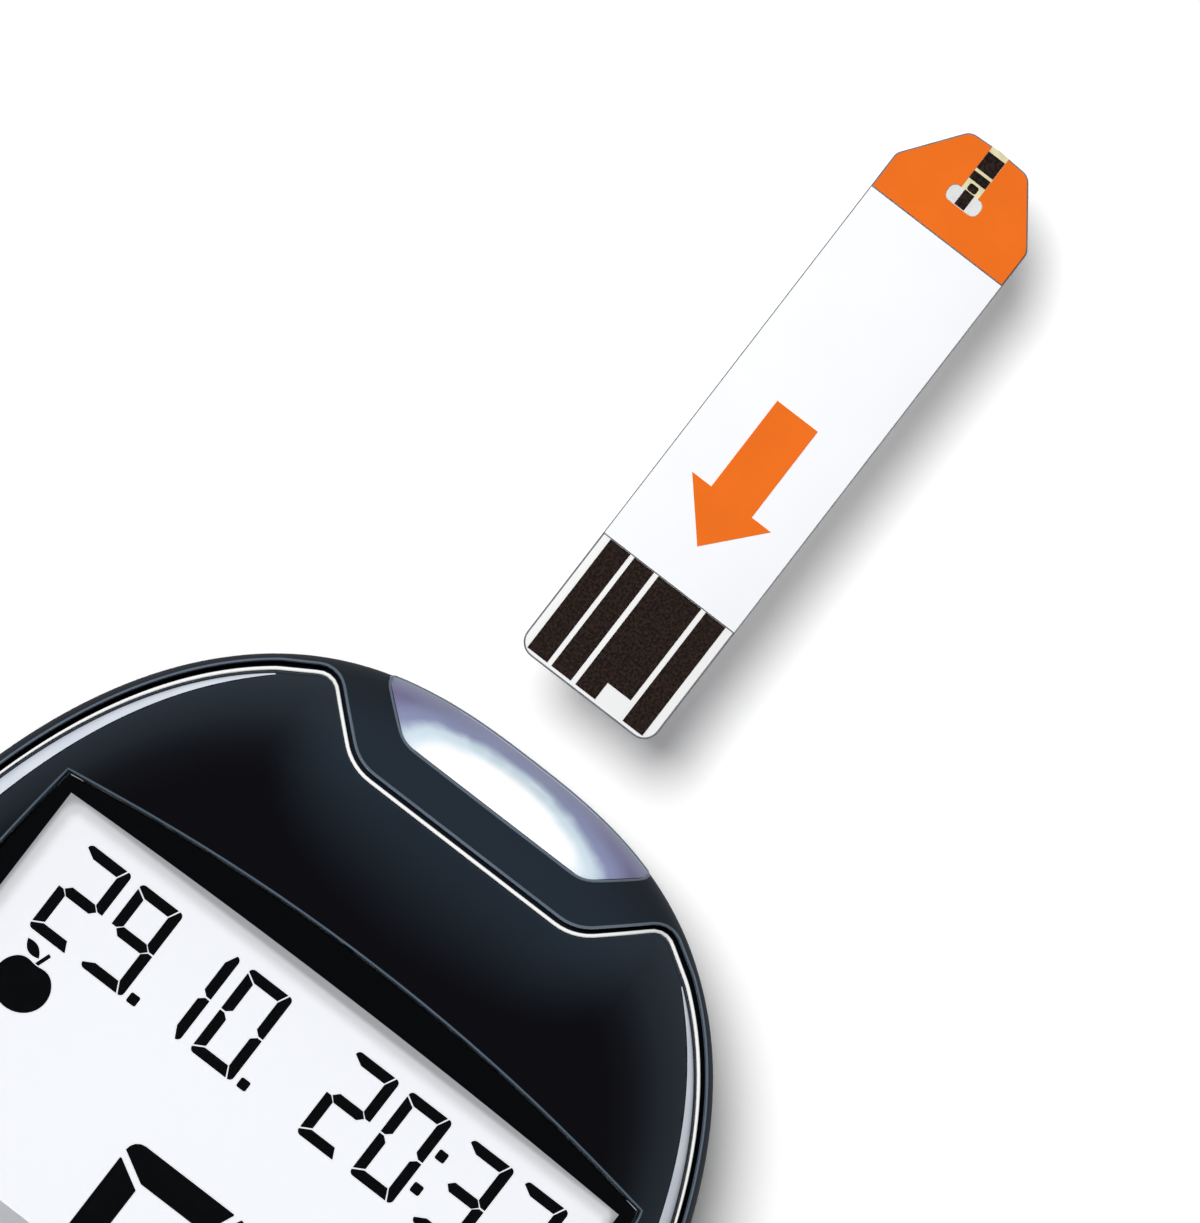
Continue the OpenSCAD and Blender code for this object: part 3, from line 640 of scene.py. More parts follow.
@dataclass(frozen=True)
class Finish:
    """A moulded, painted or printed surface with a little grain.

    Fields are the base colour, the roughness, how far both wander, the size of the
    wandering patches and of the grain, and the grain's relief, in millimetres.
    """

    name: str
    colour: Colour
    roughness: float = 0.4
    wander: float = 0.05
    patch: float = 7.0
    grain: float = 0.22
    relief: float = 0.004
    metallic: float = 0.0
    coat: float = 0.0
    level: float = 0.5
    coat_roughness: float = 0.08

    def material(self) -> bpy.types.Material:
        """The finish's material, made on its first use."""
        title = f"{self.name}_finish"
        known = bpy.data.materials.get(title)
        if known:
            return known
        made = bpy.data.materials.new(title)
        self.dress(Nodes(made))
        return made

    def dress(self, nodes: Nodes) -> None:
        """Fills the material's node tree."""
        shader = nodes.shader.inputs
        shader["Metallic"].default_value = self.metallic
        shader["Specular IOR Level"].default_value = self.level
        shader["Coat Weight"].default_value = self.coat
        shader["Coat Roughness"].default_value = self.coat_roughness
        patches = nodes.noise(self.patch, 4)
        deep = tuple(c * (1 - 2 * self.wander) for c in self.colour)
        light = tuple(min(1.0, c * (1 + self.wander)) for c in self.colour)
        start, end = NOISE_RANGE
        nodes.link(nodes.ramp(patches, (start, deep), (end, light)), shader["Base Color"])
        low, high = self.roughness * (1 - self.wander), self.roughness * (1 + 2 * self.wander)
        nodes.link(nodes.spread(patches, low, high), shader["Roughness"])
        nodes.relief(nodes.noise(self.grain, 2), self.relief)


@dataclass(frozen=True)
class Brushed(Finish):
    """Metal with fine lines along one axis, which are long where the stretch is small."""

    lines: tuple[float, float, float] = (1.0, 0.04, 1.0)
    unevenness: float = 0.25
    metallic: float = 1.0

    def dress(self, nodes: Nodes) -> None:
        """Adds the brushed lines to the plain finish."""
        super().dress(nodes)
        streaks = nodes.noise(self.grain, 5, self.lines)
        nodes.relief(streaks, self.relief)
        low, high = self.roughness * (1 - self.unevenness), self.roughness * (1 + 1.4 * self.unevenness)
        nodes.link(nodes.spread(streaks, low, high), nodes.shader.inputs["Roughness"])


@dataclass(frozen=True)
class PaintedReflectionBlack(Finish):
    """Polished black with a painted reflection: it turns slate towards the edge of its piece, by the
    attribute edge.
    """

    border: Colour = (0.02, 0.03, 0.04)
    reach: float = 8.0
    mottle: float = 0.12

    def dress(self, nodes: Nodes) -> None:
        """Adds the slate border of painted reflection and takes the grain off the polish."""
        super().dress(nodes)
        edge = nodes.add("ShaderNodeAttribute", attribute_name="edge").outputs["Fac"]
        mottled = nodes.sum("MULTIPLY_ADD", nodes.noise(self.patch * 2, 2), self.mottle, edge)
        blend = nodes.ramp(mottled, (self.mottle / 2, self.border), (1.0, self.colour))
        nodes.link(blend, nodes.shader.inputs["Base Color"])


@dataclass(frozen=True)
class PaintedWallShade(Finish):
    """A moulded surface with painted shade: deeper in tone where it turns down towards an upright wall."""

    # wall is the tone of the painted shade.
    wall: Colour = (0.01, 0.012, 0.015)
    turn: tuple[float, float] = (0.15, 0.95)
    mottle: float = 0.1

    def dress(self, nodes: Nodes) -> None:
        """Blends the lit tone and the painted-shade tone by how far the surface faces up or down."""
        super().dress(nodes)
        upright = nodes.sum("ABSOLUTE", nodes.parts(nodes.coordinates["Normal"])["Z"])
        mottled = nodes.sum("MULTIPLY_ADD", nodes.noise(self.patch, 4), self.mottle, upright)
        low, high = self.turn
        blend = nodes.ramp(mottled, (low, self.wall), (high, self.colour))
        nodes.link(blend, nodes.shader.inputs["Base Color"])


@dataclass(frozen=True)
class Clear(Finish):
    """Clear polished plastic."""

    ior: float = 1.46

    def dress(self, nodes: Nodes) -> None:
        """Lets light through, with a faint unevenness in its polish."""
        shader = nodes.shader.inputs
        shader["Base Color"].default_value = (*self.colour, 1)
        shader["Transmission Weight"].default_value = 1.0
        shader["IOR"].default_value = self.ior
        nodes.link(nodes.spread(nodes.noise(self.patch, 3), 0.0, self.roughness), shader["Roughness"])


@dataclass(frozen=True)
class Lit(Finish):
    """A glowing white display, dimmer towards the rim of its field by a painted shadow of the recess.

    The glow stands partly for the backlight and partly, as painted light, for lamp light that the window
    glass stops. The levels are shares of full brightness, from the rim inwards.
    """

    strength: float = 0.9
    centre: tuple[float, float] = (0.0, 0.0)
    half: tuple[float, float] = (20.0, 16.0)
    fade: float = 1.2
    levels: tuple[tuple[float, float], ...] = ((0.0, 0.4), (0.3, 0.72), (1.0, 1.0))

    def dress(self, nodes: Nodes) -> None:
        """Adds the glow and its painted shadow at the top and the sides."""
        super().dress(nodes)
        stretch = (1 / (self.half[0] * MM), 1 / (self.half[1] * MM), 1)
        place = nodes.parts(nodes.scaled(stretch, (*self.centre, 0)))
        rims = []
        for axis, sign, fade in ((0, -1.0, self.fade), (0, 1.0, self.fade / 2), (1, 1.0, self.fade)):
            outwards_by = nodes.sum("MULTIPLY", place[axis], sign)
            rims.append(nodes.spread(outwards_by, 1.0, 0.0, 1 - fade / self.half[axis], 1.0))
        rim_shade = nodes.sum("MULTIPLY", nodes.sum("MULTIPLY", rims[0], rims[1]), rims[2])
        stops = [(spot, tuple(c * level for c in self.colour)) for spot, level in self.levels]
        nodes.glow(nodes.ramp(rim_shade, *stops), self.strength)


@dataclass(frozen=True)
class Milky(Finish):
    """A milky light guide with a painted glow, white at its middle and violet at its rim.

    The glow has an oval of half widths about a centre, and fades out between two
    heights. The clouds have a size, a depth and a share that squeezes the glow.
    """

    centre: tuple[float, float] = (0.0, 40.0)
    half: tuple[float, float] = (9.5, 3.7)
    pale: tuple[float, float] = (11.5, 16.0)
    clouds: tuple[float, float, float] = (2.2, 0.14, 0.78)
    strength: float = 0.3
    scatter: float = 0.15
    scatter_depth: float = 2.0

    def dress(self, nodes: Nodes) -> None:
        """Adds the painted glow, with soft clouds in it."""
        super().dress(nodes)
        stretch = (1 / (self.half[0] * MM), 1 / (self.half[1] * MM), 0)
        length = nodes.add("ShaderNodeVectorMath", operation="LENGTH")
        nodes.link(nodes.scaled(stretch, (*self.centre, 0)), length.inputs[0])
        cloud_size, cloud_depth, squeeze = self.clouds
        cloudy = nodes.sum("MULTIPLY_ADD", nodes.noise(cloud_size, 5), cloud_depth, length.outputs["Value"])
        # The port's LEDs light it in the real meter; here the glow and its colours are painted light.
        white, ice, lilac, violet = (250, 250, 250), (198, 214, 224), (130, 136, 170), (108, 102, 138)
        glow = nodes.ramp(nodes.sum("MULTIPLY", cloudy, squeeze), (0.46, tone(*white)), (0.62, tone(*ice)),
                          (0.74, tone(*lilac)), (0.92, tone(*violet)))
        low, high = (z * MM for z in self.pale)
        depth = nodes.spread(nodes.parts(nodes.coordinates["Object"])["Z"], 1.0, 0.0, low, high)
        nodes.glow(nodes.mixed(depth, glow, self.colour), self.strength)
        nodes.shader.inputs["Subsurface Weight"].default_value = self.scatter
        nodes.shader.inputs["Subsurface Radius"].default_value = [self.scatter_depth * MM] * 3
        nodes.shader.inputs["Subsurface Scale"].default_value = 1.0


@dataclass(frozen=True)
class Carbon(Finish):
    """Screen-printed carbon, speckled with brown."""

    speck: Colour = (0.03, 0.02, 0.015)
    speck_size: float = 0.16

    def dress(self, nodes: Nodes) -> None:
        """Adds the specks to the plain finish."""
        super().dress(nodes)
        specks = nodes.ramp(nodes.noise(self.speck_size, 6), (0.38, self.colour), (0.66, self.speck))
        nodes.link(specks, nodes.shader.inputs["Base Color"])


@dataclass(frozen=True)
class Sleeve(Finish):
    """The printed sleeve of a cell, with a lighter band and bare metal at both ends."""

    band: Colour = (0.55, 0.4, 0.16)
    bare: Colour = (0.6, 0.6, 0.6)
    middle: float = 0.0
    half: float = 21.0

    def dress(self, nodes: Nodes) -> None:
        """Adds the band along the cell's axis."""
        super().dress(nodes)
        stretch = (1, 1 / (2 * self.half * MM), 1)
        along = nodes.parts(nodes.scaled(stretch, (0, self.middle - self.half, 0)))["Y"]
        ramp = nodes.ramp(along, (0.0, self.bare), (0.02, self.colour), (0.72, self.colour),
                          (0.74, self.band), (0.98, self.band), (1.0, self.bare), blend="CONSTANT")
        nodes.link(ramp, nodes.shader.inputs["Base Color"])


# The housing's walls get painted shade, darker where they turn away from straight up or down.
HOUSING = PaintedWallShade("housing_slate", tone(35, 43, 53), 0.44, 0.05, 9.0, 0.3, 0.0035, level=0.18,
                     wall=tone(17, 21, 27))
# The panel's slate border is a painted reflection of the studio on its domed edge.
PANEL = PaintedReflectionBlack("panel_black", tone(10, 9, 13), 0.09, 0.04, 12.0, 0.6, 0.0002, border=tone(33, 41, 50))
# The trim's pure white is partly a painted highlight along the panel's edge.
TRIM = Finish("trim_bright", tone(255, 255, 255), 0.2, 0.01, 4.0, 0.5, 0.0004, coat=0.5)
# The lips' light bluish slate is a painted highlight on their rounded edges.
LIP = Finish("lip_painted_highlight", tone(96, 109, 123), 0.16, 0.06, 6.0, 0.4, 0.0005, coat=1.0)
# The recess bead's light slate is a painted highlight on the recess edge.
BEAD = Finish("bead_painted_highlight", tone(82, 98, 112), 0.2, 0.08, 6.0, 0.4, 0.0005, coat=0.8)
# A grey for the strip layers' sides: painted shade.
SIDE_SHADE = Finish("side_shade", tone(122, 123, 128), 0.6, 0.08, 0.6, 0.08, 0.002)
# The crescents' near-white tone is partly a painted reflection along the panel's rolled sides.
INLAY = Finish("inlay_silver", tone(236, 243, 255), 0.32, 0.03, 3.0, 0.09, 0.0012, metallic=0.1)
KEY = Finish("key_silver", tone(206, 211, 219), 0.38, 0.03, 4.0, 0.11, 0.0014, metallic=0.2, coat=0.2)
KEY_MARK = Finish("key_mark", tone(38, 44, 54), 0.5, 0.04, 2.0, 0.1, 0.0006)
WINDOW = Clear("window_clear", (1.0, 1.0, 1.0), 0.02, patch=8.0)
MASK = Finish("mask_black", tone(5, 5, 6), 0.6, 0.04, 5.0, 0.3, 0.0003, level=0.0)
INK = Finish("lcd_ink", tone(15, 13, 13), 0.6, 0.05, 2.0, 0.12, 0.0004, level=0.05)
# The grey field's glow is painted light, standing for lamp light that the window glass stops.
GREY_FIELD = Lit("lcd_grey", tone(186, 186, 188), 0.6, 0.01, 2.0, 0.12, 0.0003, half=(4 * FAR, 4 * FAR))
FRAME_DARK = Finish("frame_dark", tone(46, 46, 50), 0.5, 0.06, 5.0, 0.2, 0.004)
ELASTOMER = Brushed("elastomer", tone(206, 150, 165), 0.6, 0.05, 3.0, 0.18, 0.004, 0.0,
                    lines=(1, 0.02, 0.02))
GUIDE = Finish("light_guide", tone(238, 242, 250), 0.3, 0.02, 6.0, 0.4, 0.001)
BOARD = Finish("board_green", tone(30, 96, 58), 0.28, 0.12, 3.0, 0.35, 0.006, coat=0.4)
CHIP = Finish("chip_black", tone(38, 38, 40), 0.55, 0.06, 2.0, 0.09, 0.004)
CAN = Brushed("metal_can", tone(206, 206, 204), 0.32, 0.05, 2.0, 0.1, 0.002)
CERAMIC = Finish("capacitor_tan", tone(188, 160, 122), 0.5, 0.1, 1.5, 0.1, 0.003)
LENS = Finish("led_cream", tone(248, 244, 224), 0.2, 0.03, 1.0, 0.2, 0.001)
GOLD = Brushed("contact_gold", tone(232, 202, 120), 0.28, 0.05, 2.0, 0.08, 0.0015)
AMBER = Finish("plunger_amber", tone(222, 150, 64), 0.4, 0.05, 1.5, 0.15, 0.002)
STEEL = Brushed("spring_steel", tone(206, 205, 202), 0.3, 0.05, 3.0, 0.12, 0.002)
SCREW = Finish("screw_steel", tone(168, 168, 172), 0.3, 0.08, 0.8, 0.1, 0.002, metallic=1.0)
STRIP_BASE = Finish("strip_white", tone(244, 244, 243), 0.45, 0.01, 3.0, 0.12, 0.0012)
STRIP_FILM = Finish("strip_film", tone(250, 251, 254), 0.34, 0.006, 5.0, 0.3, 0.0006)
ORANGE = Finish("strip_orange", tone(238, 113, 30), 0.42, 0.015, 3.0, 0.1, 0.0012, level=0.3)
CARBON = Carbon("strip_carbon", tone(26, 21, 19), 0.62, 0.1, 1.2, 0.1, 0.004, level=0.25,
                speck=tone(52, 38, 32))
CREAM = Finish("strip_cream", tone(226, 218, 178), 0.5, 0.06, 0.8, 0.1, 0.002)
VENT = Finish("strip_vent", tone(226, 226, 226), 0.5, 0.03, 0.6, 0.1, 0.001)


# ---- The meter's form ----


class Piece:
    """A sub-assembly that turns meshes in millimetres into finished pieces."""

    FACES_UP = 0.95

    @staticmethod
    def put(bm: bmesh.types.BMesh, name: str, body: Body, finish: Finish, slot: str,
            *nodes: str, sharp: float = 34.0, cut: Finish | None = None) -> bpy.types.Object:
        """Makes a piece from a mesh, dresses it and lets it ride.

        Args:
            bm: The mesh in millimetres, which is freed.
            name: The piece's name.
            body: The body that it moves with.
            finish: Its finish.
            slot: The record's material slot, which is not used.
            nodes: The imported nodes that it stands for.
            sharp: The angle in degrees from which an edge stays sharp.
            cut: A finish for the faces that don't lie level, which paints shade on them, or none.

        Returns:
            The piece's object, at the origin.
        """
        bmesh.ops.scale(bm, vec=Vector((MM, MM, MM)), verts=bm.verts)
        mesh = bpy.data.meshes.new(name)
        bm.to_mesh(mesh)
        bm.free()
        mesh.polygons.foreach_set("use_smooth", [True] * len(mesh.polygons))
        mesh.set_sharp_from_angle(angle=math.radians(sharp))
        mesh.materials.append(finish.material())
        if cut:
            mesh.materials.append(cut.material())
            for face in mesh.polygons:
                face.material_index = int(abs(face.normal.z) < Piece.FACES_UP)
        piece = bpy.data.objects.new(name, mesh)
        bpy.context.scene.collection.objects.link(piece)
        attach(piece, body.value)
        if nodes:
            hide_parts(*nodes)
        LOG.info("%s rides on %s, %d faces", name, body.value, len(mesh.polygons))
        return piece

    @staticmethod
    def level(piece: bpy.types.Object) -> None:
        """Weighs a cut shell's normals by the areas of its faces, so that its flat faces look flat."""
        weigh = piece.modifiers.new("level", "WEIGHTED_NORMAL")
        weigh.mode, weigh.keep_sharp = "FACE_AREA", True

    @staticmethod
    def dress(finish: Finish, *nodes: str) -> None:
        """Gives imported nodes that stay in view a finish."""
        for name in nodes:
            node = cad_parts[name]
            for place in node.material_slots:
                place.material = finish.material()
            if not node.material_slots:
                node.data.materials.append(finish.material())


@dataclass(frozen=True)
class Form:
    """The outer form of the meter: an egg-shaped plan, a rounded back and a domed front."""

    length: float = 88.0
    width: float = 54.2
    port_half: float = 32.9
    power: float = 2.68
    split: float = 10.0
    back_inset: float = 5.5
    back_round: float = 7.5
    crown: float = 8.0
    crown_side: float = 5.5
    crown_port: float = 7.5
    crown_foot: float = 8.0
    top: float = 20.55
    points: int = 288
    halvings: int = 26

    @property
    def port_y(self) -> float:
        """Where the port end lies."""
        return self.length / 2

    @property
    def widest_y(self) -> float:
        """Where the meter is widest."""
        return self.port_y - self.port_half

    @property
    def crown_z(self) -> float:
        """Where the front starts to round over."""
        return self.top - self.crown

    def outline(self, side: float = 0.0, port: float = 0.0, foot: float = 0.0, count: int = 0) -> Path:
        """The meter's plan, drawn in.

        Args:
            side: How far it is drawn in from both sides.
            port: How far from the port end.
            foot: How far from the foot end.
            count: Number of points, or 0 for the form's own.

        Returns:
            The closed path.
        """
        count = count or self.points
        path = []
        for k in range(count):
            angle = 2 * math.pi * k / count
            sine, cosine = math.sin(angle), math.cos(angle)
            reach = self.port_half - port if cosine >= 0 else self.length - self.port_half - foot
            across = math.copysign(abs(sine) ** (2 / self.power), sine)
            path.append(flat((self.width / 2 - side) * across, self.widest_y + reach * cosine))
        return path

    def outline_y(self, side: float, port: float, x: float) -> float:
        """Where a drawn-in plan crosses an x on the port side."""
        share = abs(x) / (self.width / 2 - side)
        return self.widest_y + (self.port_half - port) * math.sqrt(1 - share ** self.power)

    def fullness(self, x: float, y: float, share: float) -> float:
        """1 where a point lies on the plan drawn in by a share of the crown, and more outside it."""
        half = self.width / 2 - self.crown_side * share
        if y >= self.widest_y:
            reach = self.port_half - self.crown_port * share
        else:
            reach = self.length - self.port_half - self.crown_foot * share
        return (abs(x) / half) ** self.power + ((y - self.widest_y) / reach) ** 2

    def dome(self, x: float, y: float) -> float:
        """Height of the domed front over a point of the plan."""
        if self.fullness(x, y, 1.0) <= 1:
            return self.top
        low, high = 0.0, 1.0
        for _ in range(self.halvings):
            middle = (low + high) / 2
            low, high = (middle, high) if self.fullness(x, y, middle) < 1 else (low, middle)
        return self.crown_z + self.crown * math.sqrt(max(0.0, 1 - (1 - low) ** 2))

    def below(self, drop: float) -> Height:
        """The height of the dome less a drop."""
        return lambda x, y: self.dome(x, y) - drop

    def back_rings(self, gap: float = 0.0, top: float = 0.0, seam: float = 0.0, steps: int = 12,
                   count: int = 0) -> list[list[Vector]]:
        """Loops of the rounded back.

        Args:
            gap: How far the form is drawn in all round.
            top: Height of the last loop, or 0 for the split line.
            seam: Size of the bevel at the last loop.
            steps: Steps round the back edge.
            count: Points of a loop, or 0 for the form's own.

        Returns:
            The loops from the floor up.
        """
        top = top or self.split
        rings = []
        for k in range(steps + 1):
            turn = math.pi / 2 * k / steps
            inset = gap + self.back_inset * (1 - math.sin(turn))
            rings.append(lifted(self.outline(inset, inset, inset, count),
                                gap + self.back_round * (1 - math.cos(turn))))
        if seam > 0:
            rings.append(lifted(self.outline(gap, gap, gap, count), top - seam))
        last = gap + seam
        rings.append(lifted(self.outline(last, last, last, count), top))
        return rings

    def front_rings(self, gap: float = 0.0, drop: float = 0.0, low: float = 0.0, seam: float = 0.0,
                    steps: int = 20, count: int = 0) -> list[list[Vector]]:
        """Loops of the domed front.

        Args:
            gap: How far the form is drawn in all round.
            drop: How far the top is lowered.
            low: Height of the first loop, or 0 for the split line.
            seam: Size of the bevel at the first loop.
            steps: Steps up the crown.
            count: Points of a loop, or 0 for the form's own.

        Returns:
            The loops from the lowest up.
        """
        low = low or self.split
        first = gap + seam
        rings = [lifted(self.outline(first, first, first, count), low)]
        if seam > 0:
            rings.append(lifted(self.outline(gap, gap, gap, count), low + seam))
        for k in range(steps + 1):
            turn = math.pi / 2 * k / steps
            share = 1 - math.cos(turn)
            path = self.outline(gap + self.crown_side * share, gap + self.crown_port * share,
                                gap + self.crown_foot * share, count)
            rings.append(lifted(path, self.crown_z + (self.crown - drop) * math.sin(turn)))
        return rings


@dataclass(frozen=True)
class FacePlan:
    """The edges drawn on the face: the panel, the window, the port and the keys."""

    form: Form
    panel_side: float = 1.2
    panel_port: float = 0.8
    notch_depth: float = 6.68
    notch_half: float = 8.2
    notch_shift: float = 0.38
    shoulder_half: float = 12.3
    shoulder_run: float = 3.0
    shoulder_lap: float = 0.2
    notch_r: float = 3.7
    shoulder_r: float = 1.1
    view_top: float = 17.74
    view_width: float = 40.4
    view_height: float = 33.0
    view_arch: float = 0.42
    window_top_half: float = 21.0
    window_foot_half: float = 20.9
    window_bulge: float = 1.1
    window_arch: float = 1.85
    window_above: float = 0.85
    window_below: float = 1.3
    port_flat: float = 13.2
    port_depth: float = 3.51
    port_wings: tuple[tuple[float, float, float], ...] = ((9.6, -1.15, 1.6), (13.0, 1.2, 0.0))
    button_foot: float = 21.5
    power_r: float = 5.6
    side_in: float = 7.9
    side_out: float = 12.9
    side_angle: float = 42.0
    key_corner: float = 1.0

    @property
    def view_y(self) -> float:
        """The top edge of the visible display."""
        return self.form.port_y - self.view_top

    @property
    def button_y(self) -> float:
        """The line that the keys' centres lie on."""
        return self.form.port_y - self.form.length + self.button_foot

    def panel(self, grow: float = 0.0, step: float = 0.45) -> Path:
        """The panel's edge with its notch for the port, grown outwards."""
        form = self.form
        side, port = self.panel_side - grow, self.panel_port - grow
        y = form.port_y - self.notch_depth + grow
        foot = flat(self.notch_half - self.notch_shift * grow, y)
        shoulder = flat(self.shoulder_half, form.outline_y(side, port, self.shoulder_half))
        next_x = self.shoulder_half + self.shoulder_run
        after = flat(next_x, form.outline_y(side, port, next_x))
        half = corner(flat(0, y), foot, shoulder, self.notch_r - grow, 16)
        half += corner(foot, shoulder, after, self.shoulder_r + grow, 12)
        half += [p for p in form.outline(side, port, side, 720)
                 if p.x > next_x - self.shoulder_lap or (p.x >= 0 and p.y < form.widest_y)]
        return resampled(half + [flat(-p.x, p.y) for p in reversed(half)], step)

    def window(self) -> Path:
        """The edge of the display window: arched top and foot, bulging sides."""
        top, foot = self.view_y + self.window_above, self.view_y - self.view_height - self.window_below
        tl, tr = flat(-self.window_top_half, top), flat(self.window_top_half, top)
        br, bl = flat(self.window_foot_half, foot), flat(-self.window_foot_half, foot)
        return (arch(tl, tr, self.window_arch) + arch(tr, br, self.window_bulge)
                + arch(br, bl, self.window_arch / 2) + arch(bl, tl, self.window_bulge))

    def view(self) -> Path:
        """The edge of the visible display."""
        half, foot = self.view_width / 2, self.view_y - self.view_height
        top = arch(flat(-half, self.view_y), flat(half, self.view_y), self.view_arch)
        return top + [flat(half, self.view_y), flat(half, foot), flat(-half, foot)]

    def port(self) -> Path:
        """The port window's edge, running out past the port end."""
        y = self.form.port_y
        side = [(self.port_flat / 2, y - self.port_depth, 2.0)]
        side += [(x, y + rise, radius) for x, rise, radius in self.port_wings]
        return rounded(side + [(-x, y, r) for x, y, r in reversed(side)], 12)

    def power_key(self, grow: float = 0.0) -> Path:
        """The edge of the round key."""
        return arc(flat(0, self.button_y), self.power_r + grow, 0, 355, 71)

    def side_key(self, way: int, grow: float = 0.0) -> Path:
        """The rounded edge of a curved key.

        Args:
            way: 1 for the right key and -1 for the left key.
            grow: How far the edge is grown outwards.

        Returns:
            The closed path.
        """
        inset, steps, sharp_turn, fan_steps = self.key_corner, 30, 0.5, 6
        inner, outer = self.side_in + inset, self.side_out - inset
        at_inner = self.side_angle - math.degrees(math.asin(inset / inner))
        at_outer = self.side_angle - math.degrees(math.asin(inset / outer))
        spine = (arc(flat(0, 0), outer, -at_outer, at_outer, steps)
                 + arc(flat(0, 0), inner, at_inner, -at_inner, steps))
        radius, path = inset + grow, []
        count = len(spine)
        for i, point in enumerate(spine):
            way_in, way_out = point - spine[i - 1], spine[(i + 1) % count] - point
            first = math.atan2(-way_in.x, way_in.y)
            turn = math.remainder(math.atan2(-way_out.x, way_out.y) - first, 2 * math.pi)
            fan = fan_steps if turn > sharp_turn else 0
            for k in range(fan + 1):
                a = first + (turn * k / fan if fan else turn / 2)
                path.append(point + radius * flat(math.cos(a), math.sin(a)))
        path = [flat(p.x * way, p.y + self.button_y) for p in path]
        return path if way > 0 else path[::-1]


# ---- The housing ----


@dataclass(frozen=True)
class Housing(Piece):
    """The two shells, with the screws that join them."""

    form: Form
    face: FacePlan
    wall: float = 1.5
    panel: float = 2.0
    deck: float = 1.2
    seam: float = 0.13
    inner_gap: float = 0.2
    lip_gap: float = 0.58
    lip_r: float = 0.1
    lip_out: float = 0.5
    lip_sunk: float = 0.35
    lip_pitch: float = 0.4
    port_gap: float = 0.08
    port_low: float = 7.6
    bay_low: tuple[float, float, float] = (-11.3, -30.0, -1.0)
    bay_high: tuple[float, float, float] = (11.3, 18.5, 12.5)
    bay_wall: float = 1.2
    bay_outer: float = 14.0
    board_z: float = 13.5
    boss_r: float = 2.3
    hole_r: float = 1.0
    head_r: float = 2.0
    head_gap: float = 0.2
    head_top: float = 1.65
    head_round: float = 0.3
    head_sides: int = 48
    shank_gap: float = 0.05
    port_screw_x: float = 13.4
    slot: tuple[float, float, float] = (1.05, 0.24, 0.65)
    slot_turn: float = 12.0
    bead_r: float = 0.085
    bead_sunk: float = 0.3
    bead_beside: float = 0.6
    bead_pitch: float = 0.3
    bead_end: float = 0.995
    bead_points: int = 480
    bead_steps: int = 30
    bead_rounds: int = 2
    base_t: float = 1.2
    grid: float = 1.3

    @property
    def screws(self) -> Path:
        """The screws' places, which are the middles of their nodes' boxes by side and end."""
        low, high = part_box("case_screws")
        wide, port = high.x / MM - self.head, high.y / MM - self.head
        foot = low.y / MM + self.head
        return [flat(self.port_screw_x, port), flat(-self.port_screw_x, port),
                flat(wide, foot), flat(-wide, foot)]

    @property
    def head(self) -> float:
        """Radius of a screw's head, which is smaller than its sink."""
        return self.head_r - self.head_gap

    def pins(self, radius: float, low: float, high: float) -> bmesh.types.BMesh:
        """Upright cylinders at the screws' places."""
        return joined(*(pin(p.x, p.y, radius, low, high, 32) for p in self.screws))

    def port_pocket(self) -> bmesh.types.BMesh:
        """The space that the port window fills."""
        return column(grown(self.face.port(), self.port_gap), self.port_low - self.port_gap, FAR)

    def rear(self) -> None:
        """The rear shell with its battery bay."""
        form = self.form
        (x0, y0, z0), (x1, y1, z1) = self.bay_low, self.bay_high
        shell = loft(form.back_rings(seam=self.seam))
        hollow = loft(form.back_rings(self.wall, form.split + PAST, steps=6, count=96))
        shell = combined(shell, hollow, Cut.TAKE)
        bay = block((-self.bay_outer, y0 - self.bay_wall, self.base_t),
                    (self.bay_outer, y1 + self.bay_wall, self.board_z))
        shell = combined(shell, joined(bay, self.pins(self.boss_r, self.base_t, form.split)), Cut.JOIN)
        shell = combined(shell, block((x0, y0, z0), (x1, y1, z1)), Cut.TAKE)
        for space in Door(form).spaces():
            shell = combined(shell, space, Cut.TAKE)
        shell = combined(shell, self.pins(self.hole_r, -PAST, FAR), Cut.TAKE)
        shell = combined(shell, self.pins(self.head_r, -1.1 * PAST, self.head_top), Cut.TAKE)
        shell = combined(shell, self.port_pocket(), Cut.TAKE)
        bmesh.ops.triangulate(shell, faces=[f for f in shell.faces if len(f.verts) > 4], ngon_method="BEAUTY")
        self.level(self.put(shell, "rear_shell", Body.HOUSING, HOUSING, "housing_slate", "rear_case"))

    def front(self) -> None:
        """The front shell: the slate collar with its lips, and the deck under the panel."""
        form, face = self.form, self.face
        shell = loft(form.front_rings(seam=self.seam))
        drop = self.panel + self.deck
        hollow = loft(form.front_rings(self.wall, drop, form.split - PAST, steps=8, count=96))
        shell = combined(shell, hollow, Cut.TAKE)
        plug = plate(face.panel(self.lip_gap), (), form.below(self.panel), form.top + 5 * PAST, self.grid)
        shell = combined(shell, plug, Cut.TAKE)
        low, high = (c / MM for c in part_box("lcd_frame"))
        gap = self.inner_gap
        opening = block((low.x - gap, low.y - gap, self.board_z), (high.x + gap, high.y + gap, FAR))
        shell = combined(shell, opening, Cut.TAKE)
        keys = (face.power_key(gap), face.side_key(1, gap), face.side_key(-1, gap))
        shell = combined(shell, joined(*(column(k, self.board_z, FAR) for k in keys)), Cut.TAKE)
        shell = combined(shell, self.port_pocket(), Cut.TAKE)
        line = face.panel(self.lip_gap + self.lip_out * self.lip_r, self.lip_pitch)
        lip = tube(lifted(line, form.below(self.lip_sunk * self.lip_r)), self.lip_r, True)
        self.level(self.put(shell, "front_shell", Body.HOUSING, HOUSING, "housing_slate", "front_case"))
        # The lips' light tone is a painted highlight.
        self.put(joined(lip, self.port_lip()), "polished_lips", Body.HOUSING, LIP, "housing_slate")

